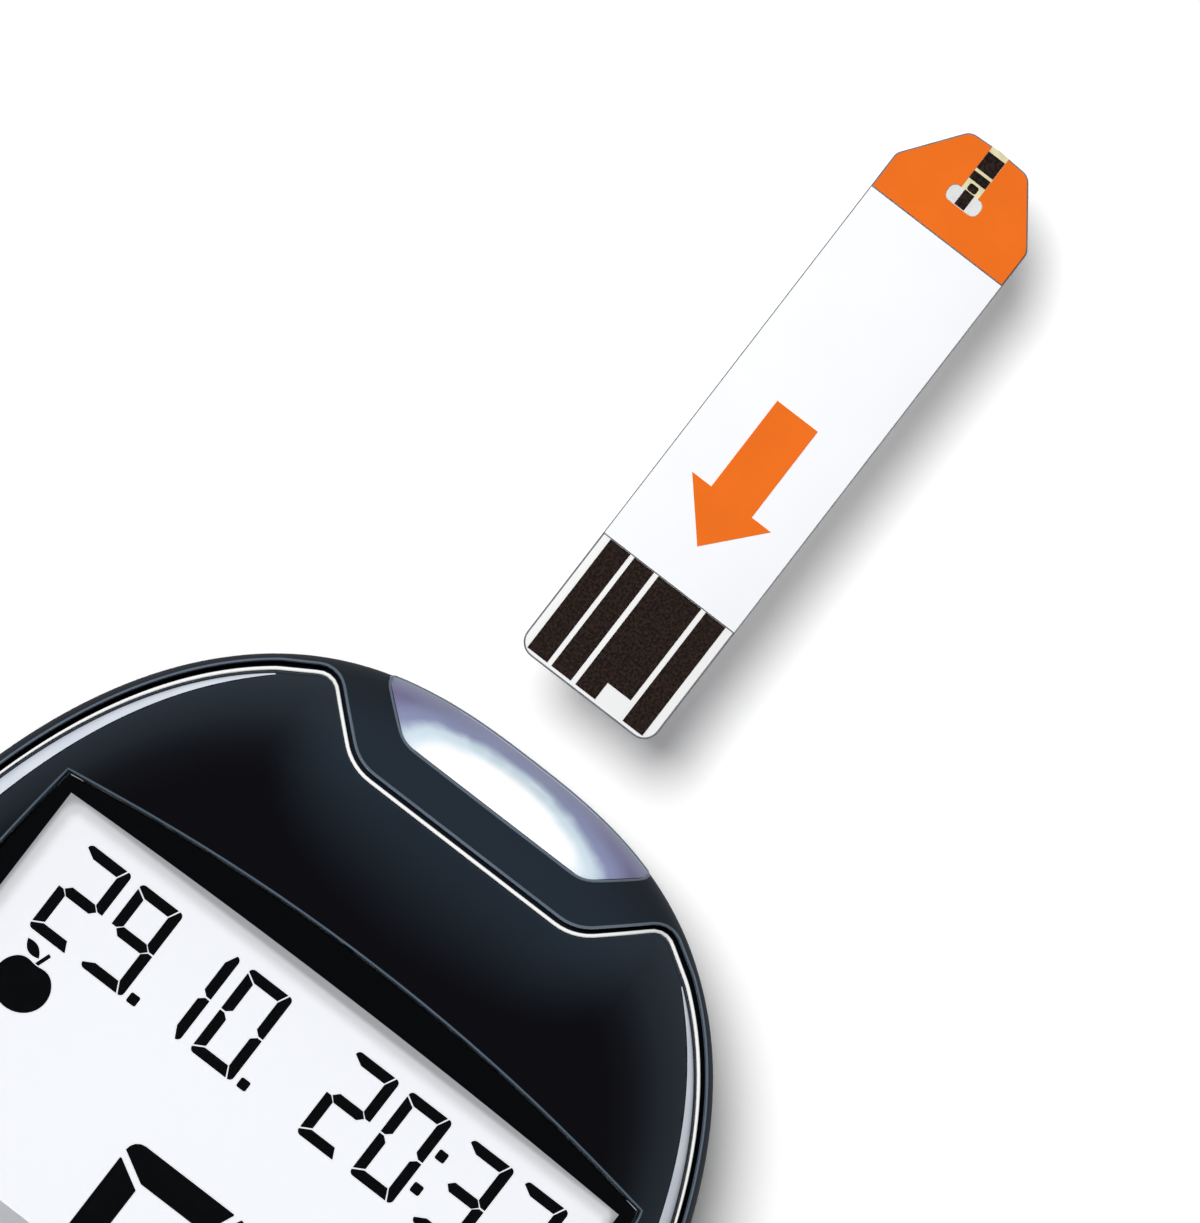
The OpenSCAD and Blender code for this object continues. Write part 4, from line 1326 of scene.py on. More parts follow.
    def port_lip(self) -> bmesh.types.BMesh:
        """The bead that frames the port window, over the dome and round the end wall."""
        form, radius, steps = self.form, self.bead_r, self.bead_steps
        sunk, beside = self.bead_sunk * radius, self.bead_beside * radius
        path = resampled(grown(self.face.port(), self.port_gap + beside), self.bead_pitch)
        inside = [form.fullness(p.x, p.y, 0.0) < self.bead_end for p in path]
        start = next(i for i in range(len(path)) if inside[i] and not inside[i - 1])
        run = [p for p, kept in zip(path[start:] + path[:start], inside[start:] + inside[:start]) if kept]
        points = lifted(run, form.below(sunk))
        foot_z = self.port_low - self.port_gap - beside
        wall = [p for p in form.outline(sunk, sunk, sunk, self.bead_points)
                if p.y > form.widest_y and abs(p.x) < abs(run[0].x)]
        wall.sort(key=lambda p: p.x * math.copysign(1, run[-1].x), reverse=True)
        heights = [points[-1].z + (foot_z - points[-1].z) * k / steps for k in range(1, steps + 1)]
        points += [Vector((wall[0].x, wall[0].y, z)) for z in heights]
        points += [Vector((p.x, p.y, foot_z)) for p in wall[1:-1]]
        points += [Vector((wall[-1].x, wall[-1].y, z)) for z in reversed(heights)]
        for _ in range(self.bead_rounds):
            points = [(points[i - 1] + 2 * p + points[(i + 1) % len(points)]) / 4
                      for i, p in enumerate(points)]
        return tube(points, radius, True, Vector((0, 1, 1)))

    def screw_heads(self) -> None:
        """Four pan-head screws with a cross slot."""
        low, high = span("case_screws")
        half, wide, deep = self.slot
        screws = []
        for p in self.screws:
            edge = arc(p, self.head, 0, 360 - 360 / self.head_sides, self.head_sides - 1)
            head = column(edge, low, self.head_top, self.head_round, 4)
            for turn in (self.slot_turn, self.slot_turn + 90):
                slot = block((-half, -wide, low - PAST), (half, wide, low + deep))
                bmesh.ops.rotate(slot, cent=(0, 0, 0), matrix=Matrix.Rotation(math.radians(turn), 3, "Z"),
                                 verts=slot.verts)
                bmesh.ops.translate(slot, vec=Vector((p.x, p.y, 0)), verts=slot.verts)
                head = combined(head, slot, Cut.TAKE)
            screws += [head, pin(p.x, p.y, self.hole_r - self.shank_gap, self.head_top - self.shank_gap,
                                 high, 24)]
        self.put(joined(*screws), "screws", Body.HOUSING, SCREW, "screw_steel", "case_screws")

    def build(self) -> None:
        """Builds both shells and the screws."""
        self.rear()
        self.front()
        self.screw_heads()


@dataclass(frozen=True)
class Door(Piece):
    """The battery door: a plate in the back that wraps the foot end."""

    form: Form
    half: float = 12.5
    gap: float = 0.2
    recess: float = 0.2
    thick: float = 1.4
    wrap: float = 7.4
    wrap_y: float = -32.2
    end_y: float = 19.0
    wall: float = 1.5
    tongue_y: tuple[float, float, float] = (-19.0, -4.0, 11.0)
    tongue_length: float = 7.0
    tongue_width: float = 0.8
    tongue_z: float = 1.0
    tongue_root: float = 0.5
    tongue_round: float = 0.12
    travel: float = 10.0
    ribs: int = 5
    rib: tuple[float, float, float] = (6.5, 0.45, 0.75)
    rib_round: float = 0.48
    rib_start: float = 8.3
    rib_step: float = 1.55
    arrow: tuple[tuple[float, float], ...] = ((-1.7, 4.4), (1.7, 4.4), (0.0, 1.9))
    arrow_round: float = 0.25
    arrow_deep: float = 0.3

    def zone(self, grow: float) -> list[bmesh.types.BMesh]:
        """The two blocks that the door's plate and its wrapped end fill, grown by a clearance."""
        wide, top = self.half + grow, self.recess + self.thick + grow
        return [block((-wide, -FAR, -5.0 * PAST), (wide, self.end_y + grow, top)),
                block((-wide - WELD, -FAR, -5.1 * PAST),
                      (wide + WELD, self.wrap_y + grow, self.wrap + grow))]

    def spaces(self) -> list[bmesh.types.BMesh]:
        """The room that the rear shell leaves for the door and its tongues."""
        reach = self.half + self.tongue_width + self.gap
        low, high = self.tongue_z - self.gap, self.recess + self.thick + self.gap + WELD
        grooves = block((-reach, self.tongue_y[0] - self.travel - PAST, low),
                        (reach, self.tongue_y[2] + self.tongue_length + self.gap, high))
        return self.zone(self.gap) + [grooves]

    def build(self) -> None:
        """Builds the door with its grip and its tongues."""
        rings = [[p + UP * self.recess for p in loop] for loop in self.form.back_rings(steps=14)]
        plate_zone, end_zone = self.zone(0.0)
        door = combined(loft(rings), combined(plate_zone, end_zone, Cut.JOIN), Cut.KEEP)
        inner = self.form.back_rings(self.wall, self.form.split + PAST, steps=8, count=96)
        lift = self.recess + self.thick - self.wall
        door = combined(door, loft([[p + UP * lift for p in loop] for loop in inner]), Cut.TAKE)
        half, deep, wide = self.rib
        for k in range(self.ribs):
            y = self.end_y - self.rib_start + self.rib_step * k
            bar = rounded([(x, y + rise, self.rib_round * wide) for x, rise in
                           ((-half, 0), (half, 0), (half, wide), (-half, wide))], 4)
            door = combined(door, column(bar, -PAST, self.recess + deep), Cut.TAKE)
        tongues = []
        for y in self.tongue_y:
            for side in (-1, 1):
                x0, x1 = sorted((side * (self.half - self.tongue_root),
                                 side * (self.half + self.tongue_width)))
                tongues.append(block((x0, y, self.tongue_z),
                                     (x1, y + self.tongue_length, self.recess + self.thick),
                                     self.tongue_round))
        arrow = rounded([(x, y, self.arrow_round) for x, y in self.arrow], 4)
        door = combined(door, column(arrow, -PAST, self.recess + self.arrow_deep), Cut.TAKE)
        self.put(joined(door, *tongues), "sliding_door", Body.DOOR, HOUSING, "housing_slate", "battery_door")


# ---- The face ----


@dataclass(frozen=True)
class FaceTop(Piece):
    """The glossy panel with its painted reflection, its bright trim and the silver crescents at its sides,
    the last two partly painted highlights.
    """

    form: Form
    face: FacePlan
    edge_r: float = 0.12
    rim_r: float = 0.28
    rim_depth: float = 1.05
    hole_spread: float = 6.0
    key_gap: float = 0.2
    key_rim: float = 0.25
    thick: float = 1.3
    grid: float = 1.1
    fine: float = 0.7
    slope_step: float = 0.02
    # border_least, border_spread and border_pitch shape the panel's painted reflection.
    border_least: float = 0.45
    border_spread: float = 13.0
    border_pitch: float = 0.6
    bead_r: float = 0.075
    bead_out: float = 0.2
    bead_drop: float = 0.03
    bead_pitch: float = 0.5
    trim_r: float = 0.118
    trim_middle: float = 0.15
    trim_drop: float = 0.05
    trim_pitch: float = 0.4
    trim_slim: float = 0.66
    trim_taper: tuple[float, float] = (24.0, 37.0)
    inlay_width: float = 0.95
    inlay_gap: float = 0.13
    inlay_y: tuple[float, float] = (-31.0, 39.0)
    inlay_power: float = 0.55
    inlay_least: float = 0.02
    inlay_steps: int = 160
    inlay_rise: tuple[float, float, float] = (-0.25, 0.03, 0.07)

    def panel(self) -> None:
        """The domed panel with its window recess and key holes."""
        form, face = self.form, self.face
        room = self.key_gap + self.key_rim
        holes = [resampled(grown(face.window(), self.rim_r), self.fine), face.power_key(room),
                 face.side_key(1, room), face.side_key(-1, room)]
        bm = filled(face.panel(-self.edge_r), holes)
        gridded(bm, self.grid)
        for vert in bm.verts:
            vert.co.z = form.dome(vert.co.x, vert.co.y)
        loops = rims(bm)
        under = bmesh.ops.duplicate(bm, geom=bm.faces[:])["geom"]
        bmesh.ops.translate(bm, vec=UP * -self.thick,
                            verts=[g for g in under if isinstance(g, bmesh.types.BMVert)])
        bmesh.ops.reverse_faces(bm, faces=[g for g in under if isinstance(g, bmesh.types.BMFace)])
        for loop in loops:
            reach = max(v.co.x for v in loop) - min(v.co.x for v in loop)
            if reach > face.view_width + self.hole_spread:
                profile = quarter(self.edge_r, self.rim_depth, 3)
            elif reach > face.view_width:
                profile = quarter(self.rim_r, self.rim_depth, 7)
            else:
                profile = quarter(self.key_rim, self.rim_depth, 4)
            edged(bm, loop, [*profile, (0.0, -self.thick)])
        bmesh.ops.remove_doubles(bm, verts=bm.verts, dist=TINY)
        bmesh.ops.recalc_face_normals(bm, faces=bm.faces)
        panel = self.put(bm, "domed_panel", Body.HOUSING, PANEL, "panel_black", "face_panel", sharp=50)
        self.mark_edge(panel)
        self.smooth(panel)

    def smooth(self, panel: bpy.types.Object) -> None:
        """Gives the panel's top the dome's own normals, so that its facets don't show."""
        dome, step, normals = self.form.dome, self.slope_step, []
        for vert in panel.data.vertices:
            x, y, z = vert.co / MM
            here = dome(x, y)
            if abs(z - here) > WELD:
                normals.append((0.0, 0.0, 0.0))
                continue
            slope_x = (dome(x + step, y) - dome(x - step, y)) / (2 * step)
            slope_y = (dome(x, y + step) - dome(x, y - step)) / (2 * step)
            normals.append(tuple(Vector((-slope_x, -slope_y, 1)).normalized()))
        panel.data.normals_split_custom_set_from_vertices(normals)

    def mark_edge(self, panel: bpy.types.Object) -> None:
        """Stores how far each vertex lies from the panel's edge, as a share of the border's reach.

        This painted reflection's border reaches furthest at the panel's middle line, and least at its sides.
        """
        path = np.array([tuple(p) for p in self.face.panel(0.0, self.border_pitch)])
        places = np.zeros(len(panel.data.vertices) * 3)
        panel.data.vertices.foreach_get("co", places)
        places = places.reshape(-1, 3)[:, :2] / MM
        gaps = np.sqrt(((places[:, None, :] - path[None, :, :]) ** 2).sum(axis=2)).min(axis=1)
        least, swell = self.border_least, np.exp(-(places[:, 0] / self.border_spread) ** 2)
        reach = PANEL.reach * (least + (1 - least) * swell)
        layer = panel.data.attributes.new("edge", "FLOAT", "POINT")
        layer.data.foreach_set("value", np.clip(gaps / reach, 0, 1).astype(np.float32))

    def rim_bead(self) -> None:
        """The bead along the edge of the window's recess, whose light tone is a painted highlight."""
        path = resampled(grown(self.face.window(), self.bead_out), self.bead_pitch)
        points = lifted(path, self.form.below(self.bead_drop))
        self.put(tube(points, self.bead_r, True, sides=10), "recess_bead", Body.HOUSING, BEAD, "panel_black")

    def trim_radius(self, _: float, y: float) -> float:
        """The radius of the bright bead, which is full round the port's notch and slimmer along the sides."""
        low, high = self.trim_taper
        share = min(1.0, max(0.0, (y - low) / (high - low)))
        slim = self.trim_slim
        return self.trim_r * (slim + (1 - slim) * share * share * (3 - 2 * share))

    def trim(self) -> None:
        """The white bead round the panel, whose brightness is partly a painted highlight."""
        points = lifted(self.face.panel(self.trim_middle, self.trim_pitch), self.form.below(self.trim_drop))
        self.put(tube(points, self.trim_radius, True, sides=14), "bright_trim", Body.HOUSING, TRIM,
                 "trim_bright", "face_trim")

    def crescent(self, way: int) -> bmesh.types.BMesh:
        """A silver crescent on one side of the panel, widest at its middle, whose pale tone is partly a
        painted reflection.
        """
        low, high = self.inlay_y
        rings = []
        for k in range(self.inlay_steps + 1):
            share = k / self.inlay_steps
            y = high + (low - high) * share
            swell = math.sin(math.pi * min(0.998, max(0.002, share))) ** self.inlay_power
            width = self.inlay_width * max(self.inlay_least, swell)
            start = self.edge_on_side(y, self.inlay_gap)
            end = self.edge_on_side(y, self.inlay_gap + width)
            middle = (start + end) / 2
            low_z, side_z, top_z = self.inlay_rise
            section = [(start, low_z), (start, side_z), (middle, top_z), (end, side_z), (end, low_z)]
            rings.append([Vector((way * p.x, p.y, self.form.dome(p.x, p.y) + rise)) for p, rise in section])
        return loft(rings)

    def edge_on_side(self, y: float, inset: float) -> Vector:
        """The point at a height of the plan where the panel's edge, drawn in, runs along the side."""
        form, face = self.form, self.face
        side = face.panel_side + inset
        port = face.panel_port + inset
        reach = form.port_half - port if y >= form.widest_y else form.length - form.port_half - side
        share = min(1 - TINY, abs(y - form.widest_y) / reach)
        across = (1 - share ** 2) ** (1 / form.power)
        return flat((form.width / 2 - side) * across, y)

    def build(self) -> None:
        """Builds the panel, its bead, the trim and both crescents."""
        self.panel()
        self.rim_bead()
        self.trim()
        for way, name in ((-1, "left"), (1, "right")):
            self.put(self.crescent(way), f"crescent_{name}", Body.HOUSING, INLAY, "inlay_silver",
                     f"side_inlay_{name}")


class Segment(Enum):
    """The bars of a seven-segment digit."""

    TOP = 0
    UPPER_RIGHT = 1
    LOWER_RIGHT = 2
    FOOT = 3
    LOWER_LEFT = 4
    UPPER_LEFT = 5
    MIDDLE = 6


DIGITS = {0: (0, 1, 2, 3, 4, 5), 1: (1, 2), 2: (0, 1, 6, 4, 3), 3: (0, 1, 6, 2, 3), 7: (0, 1, 2),
          8: (0, 1, 2, 3, 4, 5, 6), 9: (0, 1, 2, 3, 5, 6)}


@dataclass(frozen=True)
class Digit:
    """One seven-segment digit."""

    value: int
    x: float
    y: float
    width: float
    height: float
    stroke: float
    gap: float = 0.05
    turn_share: float = 0.44
    near_share: float = 0.04

    def bar(self, segment: Segment) -> Path:
        """The outline of one bar. Each bar that turns a corner rounds it, and the next is cut back to it."""
        w, h, s, g = self.width, self.height, self.stroke, self.gap
        turn, near = self.turn_share * s, self.near_share * s
        m, q = h / 2, turn + g
        shapes = {
            Segment.TOP: [
                (0, h - q + g, near), (0, h, turn), (w - q - g, h, near), (w - s - g, h - s, near),
                (s, h - s, near)],
            Segment.UPPER_RIGHT: [
                (w - q + g, h, near), (w, h, turn), (w, m + g, near), (w - s / 2, m + g, near),
                (w - s, m + s / 2, near), (w - s, h - s - g, near)],
            Segment.LOWER_RIGHT: [
                (w, m - g, near), (w, 0, turn), (w - q + g, 0, near), (w - s, s + g, near),
                (w - s, m - s / 2, near), (w - s / 2, m - g, near)],
            Segment.FOOT: [
                (w - q - g, 0, near), (0, 0, turn), (0, q - g, near), (s, s, near), (w - s - g, s, near)],
            Segment.LOWER_LEFT: [
                (0, m - g, near), (s / 2, m - g, near), (s, m - s / 2, near), (s, s + 2 * g, near),
                (0, q + g, near)],
            Segment.UPPER_LEFT: [
                (0, h - q - g, near), (s, h - s - 2 * g, near), (s, m + s / 2, near), (s / 2, m + g, near),
                (0, m + g, near)],
            Segment.MIDDLE: [
                (s / 2 + g, m, near), (s + g, m + s / 2, near), (w - s - g, m + s / 2, near),
                (w - s / 2 - g, m, near), (w - s - g, m - s / 2, near), (s + g, m - s / 2, near)],
        }
        return [flat(p.x + self.x, p.y + self.y) for p in rounded(shapes[segment], 4)]

    def bars(self) -> list[Path]:
        """The outlines of the bars that this digit lights."""
        return [self.bar(Segment(k)) for k in DIGITS[self.value]]


@dataclass(frozen=True)
class Display(Piece):
    """The window, its printed mask and what the display shows.

    row and reading hold each digit's value and left edge. The dots are places from
    the middle line and from the foot of the row. The fruit's place is from the
    middle line and below the top of the view, and its stem and leaf are drawn from
    its own top.
    """

    face: FacePlan
    row_height: float = 6.06
    row_width: float = 3.1
    row_stroke: float = 0.67
    reading_height: float = 14.6
    reading_width: float = 8.76
    reading_stroke: float = 1.94
    reading_gap: float = 0.24
    row_drop: float = 1.71
    reading_drop: float = 13.8
    row: tuple[tuple[int, float], ...] = ((2, -17.5), (9, -13.7), (1, -9.46), (0, -5.6), (2, 2.3), (0, 6.2),
                                          (3, 10.8), (7, 14.8))
    reading: tuple[tuple[int, float], ...] = ((9, -4.95), (8, 6.0))
    dots: tuple[tuple[float, float], ...] = ((-10.3, 0.0), (-2.15, 0.0), (9.62, 1.35), (9.62, 3.75))
    dot: float = 0.66
    dot_round: float = 0.12
    fruit_place: tuple[float, float] = (-15.7, 10.7)
    fruit_r: float = 1.78
    stem_start: float = 1.42
    stem: tuple[tuple[float, float], ...] = ((-0.13, 0.0), (0.13, 0.0), (0.42, 0.85), (0.2, 0.95))
    stem_round: float = 0.05
    leaf: tuple[tuple[float, float], ...] = ((-0.1, 0.35), (-1.35, 0.95))
    leaf_swell: tuple[float, float] = (0.36, 0.3)
    field_right: float = -6.7
    field_drop: float = 21.5
    field_margin: float = 0.3
    field_sunk: float = 0.02
    ink: float = 0.05
    ink_lift: float = 0.03
    window_pitch: float = 0.7
    window_gap: float = 0.06
    window_lift: float = 0.04
    window_edge: float = 0.06
    mask_gap: float = 0.1

    def window(self) -> None:
        """The clear window and the black mask under it."""
        low, high = span("display_window")
        edge = resampled(grown(self.face.window(), -self.window_gap), self.window_pitch)
        window = column(edge, low + self.window_lift, high, self.window_edge, 2)
        self.put(window, "clear_window", Body.HOUSING, WINDOW, "window_clear", "display_window", sharp=15)
        mask = plate(grown(self.face.window(), -self.mask_gap), [self.face.view()], *span("window_mask"))
        self.put(mask, "printed_mask", Body.HOUSING, MASK, "mask_black", "window_mask")

    def printed(self, shapes: Sequence[Path], name: str, finish: Finish, slot: str, *nodes: str,
                low: float = 0.0) -> None:
        """Thin shapes that lie on the display glass."""
        base = span("lcd_glass")[1] + low
        prints = joined(*(column(p, base, base + self.ink) for p in shapes))
        self.put(prints, name, Body.HOUSING, finish, slot, *nodes)

    def signs(self) -> list[Path]:
        """The date and the time above, the meal mark, and the reading below."""
        row_y = self.face.view_y - self.row_drop - self.row_height
        reading_y = self.face.view_y - self.reading_drop - self.reading_height
        digits = [Digit(v, x, row_y, self.row_width, self.row_height, self.row_stroke) for v, x in self.row]
        digits += [Digit(v, x, reading_y, self.reading_width, self.reading_height, self.reading_stroke,
                         self.reading_gap) for v, x in self.reading]
        shapes = [bar for digit in digits for bar in digit.bars()]
        d, r = self.dot, self.dot_round
        for x, rise in self.dots:
            y = row_y + rise
            shapes.append(rounded([(x, y, r), (x + d, y, r), (x + d, y + d, r), (x, y + d, r)], 4))
        fruit_x, fruit_drop = self.fruit_place
        return shapes + self.fruit(flat(fruit_x, self.face.view_y - fruit_drop))

    def fruit(self, centre: Vector) -> list[Path]:
        """A round fruit with a stem and a leaf, for a reading taken after a meal."""
        steps, dip, dip_width, squat = 48, 0.34, 0.42, 0.94
        body = []
        for k in range(steps):
            a = 2 * math.pi * k / steps
            dimple = dip * math.exp(-((a - math.pi / 2) / dip_width) ** 2)
            body.append(centre + (self.fruit_r - dimple) * flat(math.cos(a), squat * math.sin(a)))
        top = centre + flat(0, self.stem_start)
        stem = rounded([(top.x + x, top.y + y, self.stem_round) for x, y in self.stem], 3)
        base, tip = (flat(top.x + x, top.y + y) for x, y in self.leaf)
        first, second = self.leaf_swell
        return [body, stem, arch(base, tip, first, 10) + arch(tip, base, second, 10)]

    def build(self) -> None:
        """Builds the window and the signs, and gives the glass a glow with a painted shadow at its rim."""
        face = self.face
        self.window()
        self.printed(self.signs(), "display_signs", INK, "lcd_ink", "lcd_digits", low=self.ink_lift)
        left = -face.view_width / 2 - self.field_margin
        foot = face.view_y - face.view_height - self.field_margin
        right, top = self.field_right, face.view_y - self.field_drop
        field = [flat(left, foot), flat(right, foot), flat(right, top), flat(left, top)]
        self.printed([field], "display_field", GREY_FIELD, "lcd_white", low=-self.field_sunk)
        middle = (0.0, face.view_y - face.view_height / 2)
        # The display's glow is partly painted light, and its dim rim is a painted shadow of the recess.
        lit = Lit("lcd_white", tone(250, 251, 254), 0.35, 0.006, 9.0, 0.5, 0.0005, centre=middle,
                  half=(face.view_width / 2, face.view_height / 2))
        self.dress(lit, "lcd_glass")


# ---- Keys, port and inner parts ----


@dataclass(frozen=True)
class Keys(Piece):
    """The three keys with their flanges, stems and marks.

    bowl and dip are the insets and depths of the hollows in the caps' tops. The
    power sign is a ring, open between two angles, and a bar with its half width,
    its two ends and its rounding.
    """

    face: FacePlan
    edge_r: float = 0.4
    edge_steps: int = 6
    flange: float = 0.7
    flange_z: tuple[float, float] = (0.55, 1.2)
    flange_round: float = 0.08
    stem_r: float = 1.0
    overlap: float = 0.01
    print_t: float = 0.03
    bowl: tuple[tuple[float, float], ...] = ((0.75, 0.02), (1.2, 0.08), (1.8, 0.15), (2.5, 0.2), (3.1, 0.22))
    dip: tuple[tuple[float, float], ...] = ((0.8, 0.03),)
    sign_r: tuple[float, float] = (1.75, 1.35)
    sign_turn: tuple[float, float] = (125, 415)
    sign_bar: tuple[float, float, float, float] = (0.2, 0.5, 2.1, 0.15)
    arrow: tuple[tuple[float, float], ...] = ((1.15, 0.0), (-0.75, 1.15), (-0.75, -1.15))
    arrow_round: float = 0.2

    def cap(self, path: Path, low: float, high: float,
            dish: Sequence[tuple[float, float]]) -> bmesh.types.BMesh:
        """A key's cap with a rounded edge and a top that dips by the dish's steps."""
        bends = [math.pi / 2 * k / self.edge_steps for k in range(self.edge_steps + 1)]
        levels = [(0.0, low)] + [(self.edge_r * (1 - math.cos(a)), high - self.edge_r * (1 - math.sin(a)))
                                 for a in bends]
        levels += [(inset, high - depth) for inset, depth in dish]
        return loft([lifted(grown(path, -inset), z) for inset, z in levels])

    def key(self, node: str, body: Body, path: Path, wide: Path, x: float,
            dish: Sequence[tuple[float, float]]) -> float:
        """One key in the place of its node.

        Args:
            node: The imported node.
            body: The body that it rides on.
            path: The edge of its cap.
            wide: The edge of its flange.
            x: Where its stem stands.
            dish: Insets and depths of the dip in its top.

        Returns:
            The height of the middle of its top.
        """
        low, high = span(node)
        flange_low, flange_top = (low + rise for rise in self.flange_z)
        parts = joined(self.cap(path, flange_top - self.overlap, high, dish),
                       column(wide, flange_low, flange_top, self.flange_round, 2),
                       pin(x, self.face.button_y, self.stem_r, low, flange_low + self.overlap))
        self.put(parts, f"{node}_cap", body, KEY, "key_silver", node)
        return high - (dish[-1][1] if dish else 0.0)

    def mark(self, shapes: Sequence[Path], name: str, body: Body, z: float) -> None:
        """A printed mark on a key."""
        prints = (column(p, z - self.print_t, z + self.print_t / 2) for p in shapes)
        self.put(joined(*prints), name, body, KEY_MARK, "housing_slate")

    def build(self) -> None:
        """Builds the three keys."""
        face = self.face
        z = self.key("power_button", Body.POWER_KEY, face.power_key(), face.power_key(self.flange), 0.0,
                     self.bowl)
        centre = flat(0, face.button_y)
        (outer, inner), (start, end) = self.sign_r, self.sign_turn
        ring_out, ring_in = arc(centre, outer, start, end, 40), arc(centre, inner, end, start, 40)
        x, low, high, r = self.sign_bar
        low, high = centre.y + low, centre.y + high
        bar = rounded([(-x, low, r), (x, low, r), (x, high, r), (-x, high, r)], 4)
        self.mark([ring_out + ring_in, bar], "power_mark", Body.POWER_KEY, z)
        middle = (face.side_in + face.side_out) / 2
        for node, body, way in (("left_button", Body.LEFT_KEY, -1), ("right_button", Body.RIGHT_KEY, 1)):
            y, x = face.button_y, way * middle
            z = self.key(node, body, face.side_key(way), face.side_key(way, self.flange), x, self.dip)
            arrow = rounded([(x + way * ahead, y + up, self.arrow_round) for ahead, up in self.arrow], 4)
            self.mark([arrow], f"{node}_mark", body, z)


@dataclass(frozen=True)
class Port(Piece):
    """The milky port window with its flared slot."""

    form: Form
    face: FacePlan
    low: float = 7.6
    half: float = 5.2
    height: float = 1.2
    mouth: float = 1.1
    slot_lift: float = 0.025
    inset: float = 0.02
    glow_back: float = 0.2

    def build(self) -> None:
        """Builds the port window."""
        form, inset = self.form, self.inset
        rings = form.back_rings(inset)[:-1] + form.front_rings(inset, inset)[1:]
        window = combined(loft(rings), column(self.face.port(), self.low, FAR), Cut.KEEP)
        z, h = (span("strip_base")[0] + span("strip_cover")[1]) / 2 + self.slot_lift, self.height / 2
        start, end = form.port_y - self.mouth, form.port_y + self.mouth
        section = [(0.0, -h), (start, -h), (end, -h - self.mouth), (end, h + self.mouth), (start, h),
                   (0.0, h)]
        slot = loft([[Vector((x, y, z + rise)) for y, rise in section] for x in (-self.half, self.half)])
        window = combined(window, slot, Cut.TAKE)
        # The port window's glow is painted light standing for its LEDs.
        milk = Milky("port_milk", tone(158, 160, 186), 0.16, 0.02, 3.0, 0.5, 0.0008, coat=0.4,
                     centre=(0.0, form.port_y - self.face.port_depth - self.glow_back))
        self.put(window, "port_guide", Body.HOUSING, milk, "port_milk", "port_window")


class Inside(Piece):
    """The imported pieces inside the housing, which keep their shapes."""

    FINISHES = {
        FRAME_DARK: ("lcd_frame", "strip_connector", "switch_housings"),
        GUIDE: ("backlight_panel",),
        ELASTOMER: ("lcd_connector",),
        BOARD: ("main_board",),
        CHIP: ("processor", "memory_chip", "buzzer"),
        CAN: ("quartz_crystal",),
        CERAMIC: ("capacitors",),
        LENS: ("port_leds",),
        GOLD: ("connector_springs",),
        AMBER: ("power_plunger", "left_plunger", "right_plunger"),
        STEEL: ("battery_springs", "battery_plates"),
    }

    def build(self) -> None:
        """Dresses the inner pieces and the two cells."""
        for finish, nodes in self.FINISHES.items():
            self.dress(finish, *nodes)
        for node in ("battery_left", "battery_right"):
            low, high = (c.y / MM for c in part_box(node))
            sleeve = Sleeve(f"cell_sleeve_{node}", tone(46, 70, 108), 0.3, 0.04, 5.0, 0.3, 0.001,
                            metallic=0.4, coat=0.3, middle=(low + high) / 2, half=(high - low) / 2)
            self.dress(sleeve, node)


# ---- The test strip ----


